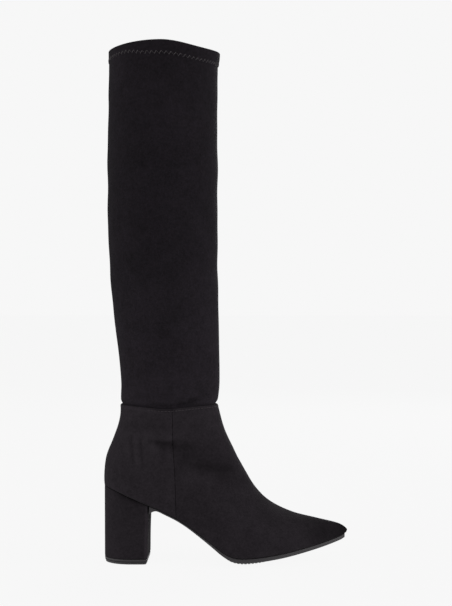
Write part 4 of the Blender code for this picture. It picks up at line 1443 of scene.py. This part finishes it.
count = int(2 * math.pi * HEM_RADIUS / HEM_ZIGZAG_PITCH)
turns = np.arange(count)[:, None] + np.array([0, HEM_RISE_SHARE])
angles = np.append(turns.ravel(), count) / count * 2 * math.pi
swing = np.where(np.arange(2 * count + 1) % 2, 0.5, -0.5) * HEM_ZIGZAG
places = []
for k in range(2 * count):
    t = np.linspace(0, 1, HEM_BENDS + 1)
    height = HEM_ZIGZAG_MIDDLE + mix(swing[k], swing[k + 1], t)
    bent = shaft_points(mix(angles[k], angles[k + 1], t), height)
    bent[:, 2] += hem_rise(bent, height)
    outs = (bent - [HEM_MIDDLE, 0, 0]) * [1, 1, 0]
    bent = bent + HEEL_BACK + unit(outs) * THREAD_PROUD
    for n in range(HEM_BENDS):
        length = float(np.linalg.norm(bent[n + 1] - bent[n]))
        places += sewn(bent[n:n + 2], outs[n:n + 2], length, 0, HEM_THREAD[k % 2])
for place in places:
    place @= Matrix.Diagonal((1, 1, HEM_STITCHES_OVERLAP, 1))
hem_zigzag = beads("hem_zigzag", places, sewing_thread("grey_polyester_thread", "#454143", "#6A6668"))

for piece in (ankle_row, zip_rows, hem_zigzag):
    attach(piece, "boot")


# ---------------------------------------------------------------- studio
# A pale floor and room, which light the boot softly and evenly from below and all round, a large
# softbox on each side in front of it, a small one above it and one on the inner side of the leg.

STUDIO_TONE = "#F7F7F7"
FLOOR_GLOW = 0.985  # as the camera sees it
FLOOR_LIGHT = 0.70  # as the boot gets it
ROOM_GLOW = 1.0
ROOM_LIGHT = 0.30
LIGHTS_AIM_AT = (0, 0, 0.22)
SOFT_LIGHTS = (
    # name, place, size, watts
    ("left_softbox", (-1.5, -0.55, 0.75), (0.9, 1.5), 9),
    ("right_softbox", (1.6, -0.35, 0.65), (0.8, 1.4), 15),
    ("top_softbox", (-0.3, -0.9, 1.7), (1.0, 1.0), 5),
    ("inner_softbox", (0.5, 1.6, 0.9), (0.5, 0.6), 12),
)
CAMERA_PLACE = (0.024, -1.400, 0.2745)
CAMERA_LENS = 87  # mm, with a sensor 36 mm wide
CAMERA_SHIFT = (-0.0415, -0.050)  # as the boot stands a little off the middle of the view


def glow(tree, lights, shows):
    """How brightly something glows: one value as the camera sees it, and one as it lights the boot."""
    seen = add_node(tree, "LightPath").outputs["Is Camera Ray"]
    return add_node(tree, "Mix", {0: seen, 2: lights, 3: shows}).outputs[0]


floor_paint, tree, shader = new_material("studio_floor", Roughness=1.0, Specular_IOR_Level=0.0,
                                         Base_Color=(0.02, 0.02, 0.02, 1),
                                         Emission_Color=linear(STUDIO_TONE))
feed(shader, {"Emission Strength": glow(tree, FLOOR_LIGHT, FLOOR_GLOW)})
bm = bmesh.new()
bmesh.ops.create_grid(bm, x_segments=2, y_segments=2, size=8)
floor = finished("floor", bm, floor_paint)

room = bpy.data.worlds.new("studio")
room.use_nodes = True
feed(room.node_tree.nodes["Background"], {"Color": linear(STUDIO_TONE),
                                          "Strength": glow(room.node_tree, ROOM_LIGHT, ROOM_GLOW)})
bpy.context.scene.world = room

for name, place, size, energy in SOFT_LIGHTS:
    light = bpy.data.objects.new(name, bpy.data.lights.new(name, "AREA"))
    light.data.shape = "RECTANGLE"
    light.data.size, light.data.size_y = size
    light.data.energy = energy
    light.location = place
    aim = Vector(LIGHTS_AIM_AT) - light.location
    light.rotation_euler = aim.to_track_quat("-Z", "Y").to_euler()
    bpy.context.scene.collection.objects.link(light)

camera = bpy.data.objects.new("camera", bpy.data.cameras.new("camera"))
camera.location = CAMERA_PLACE
camera.rotation_euler = (math.pi / 2, 0, 0)
camera.data.lens = CAMERA_LENS
camera.data.sensor_width = 36
camera.data.shift_x, camera.data.shift_y = CAMERA_SHIFT
bpy.context.scene.collection.objects.link(camera)
bpy.context.scene.camera = camera
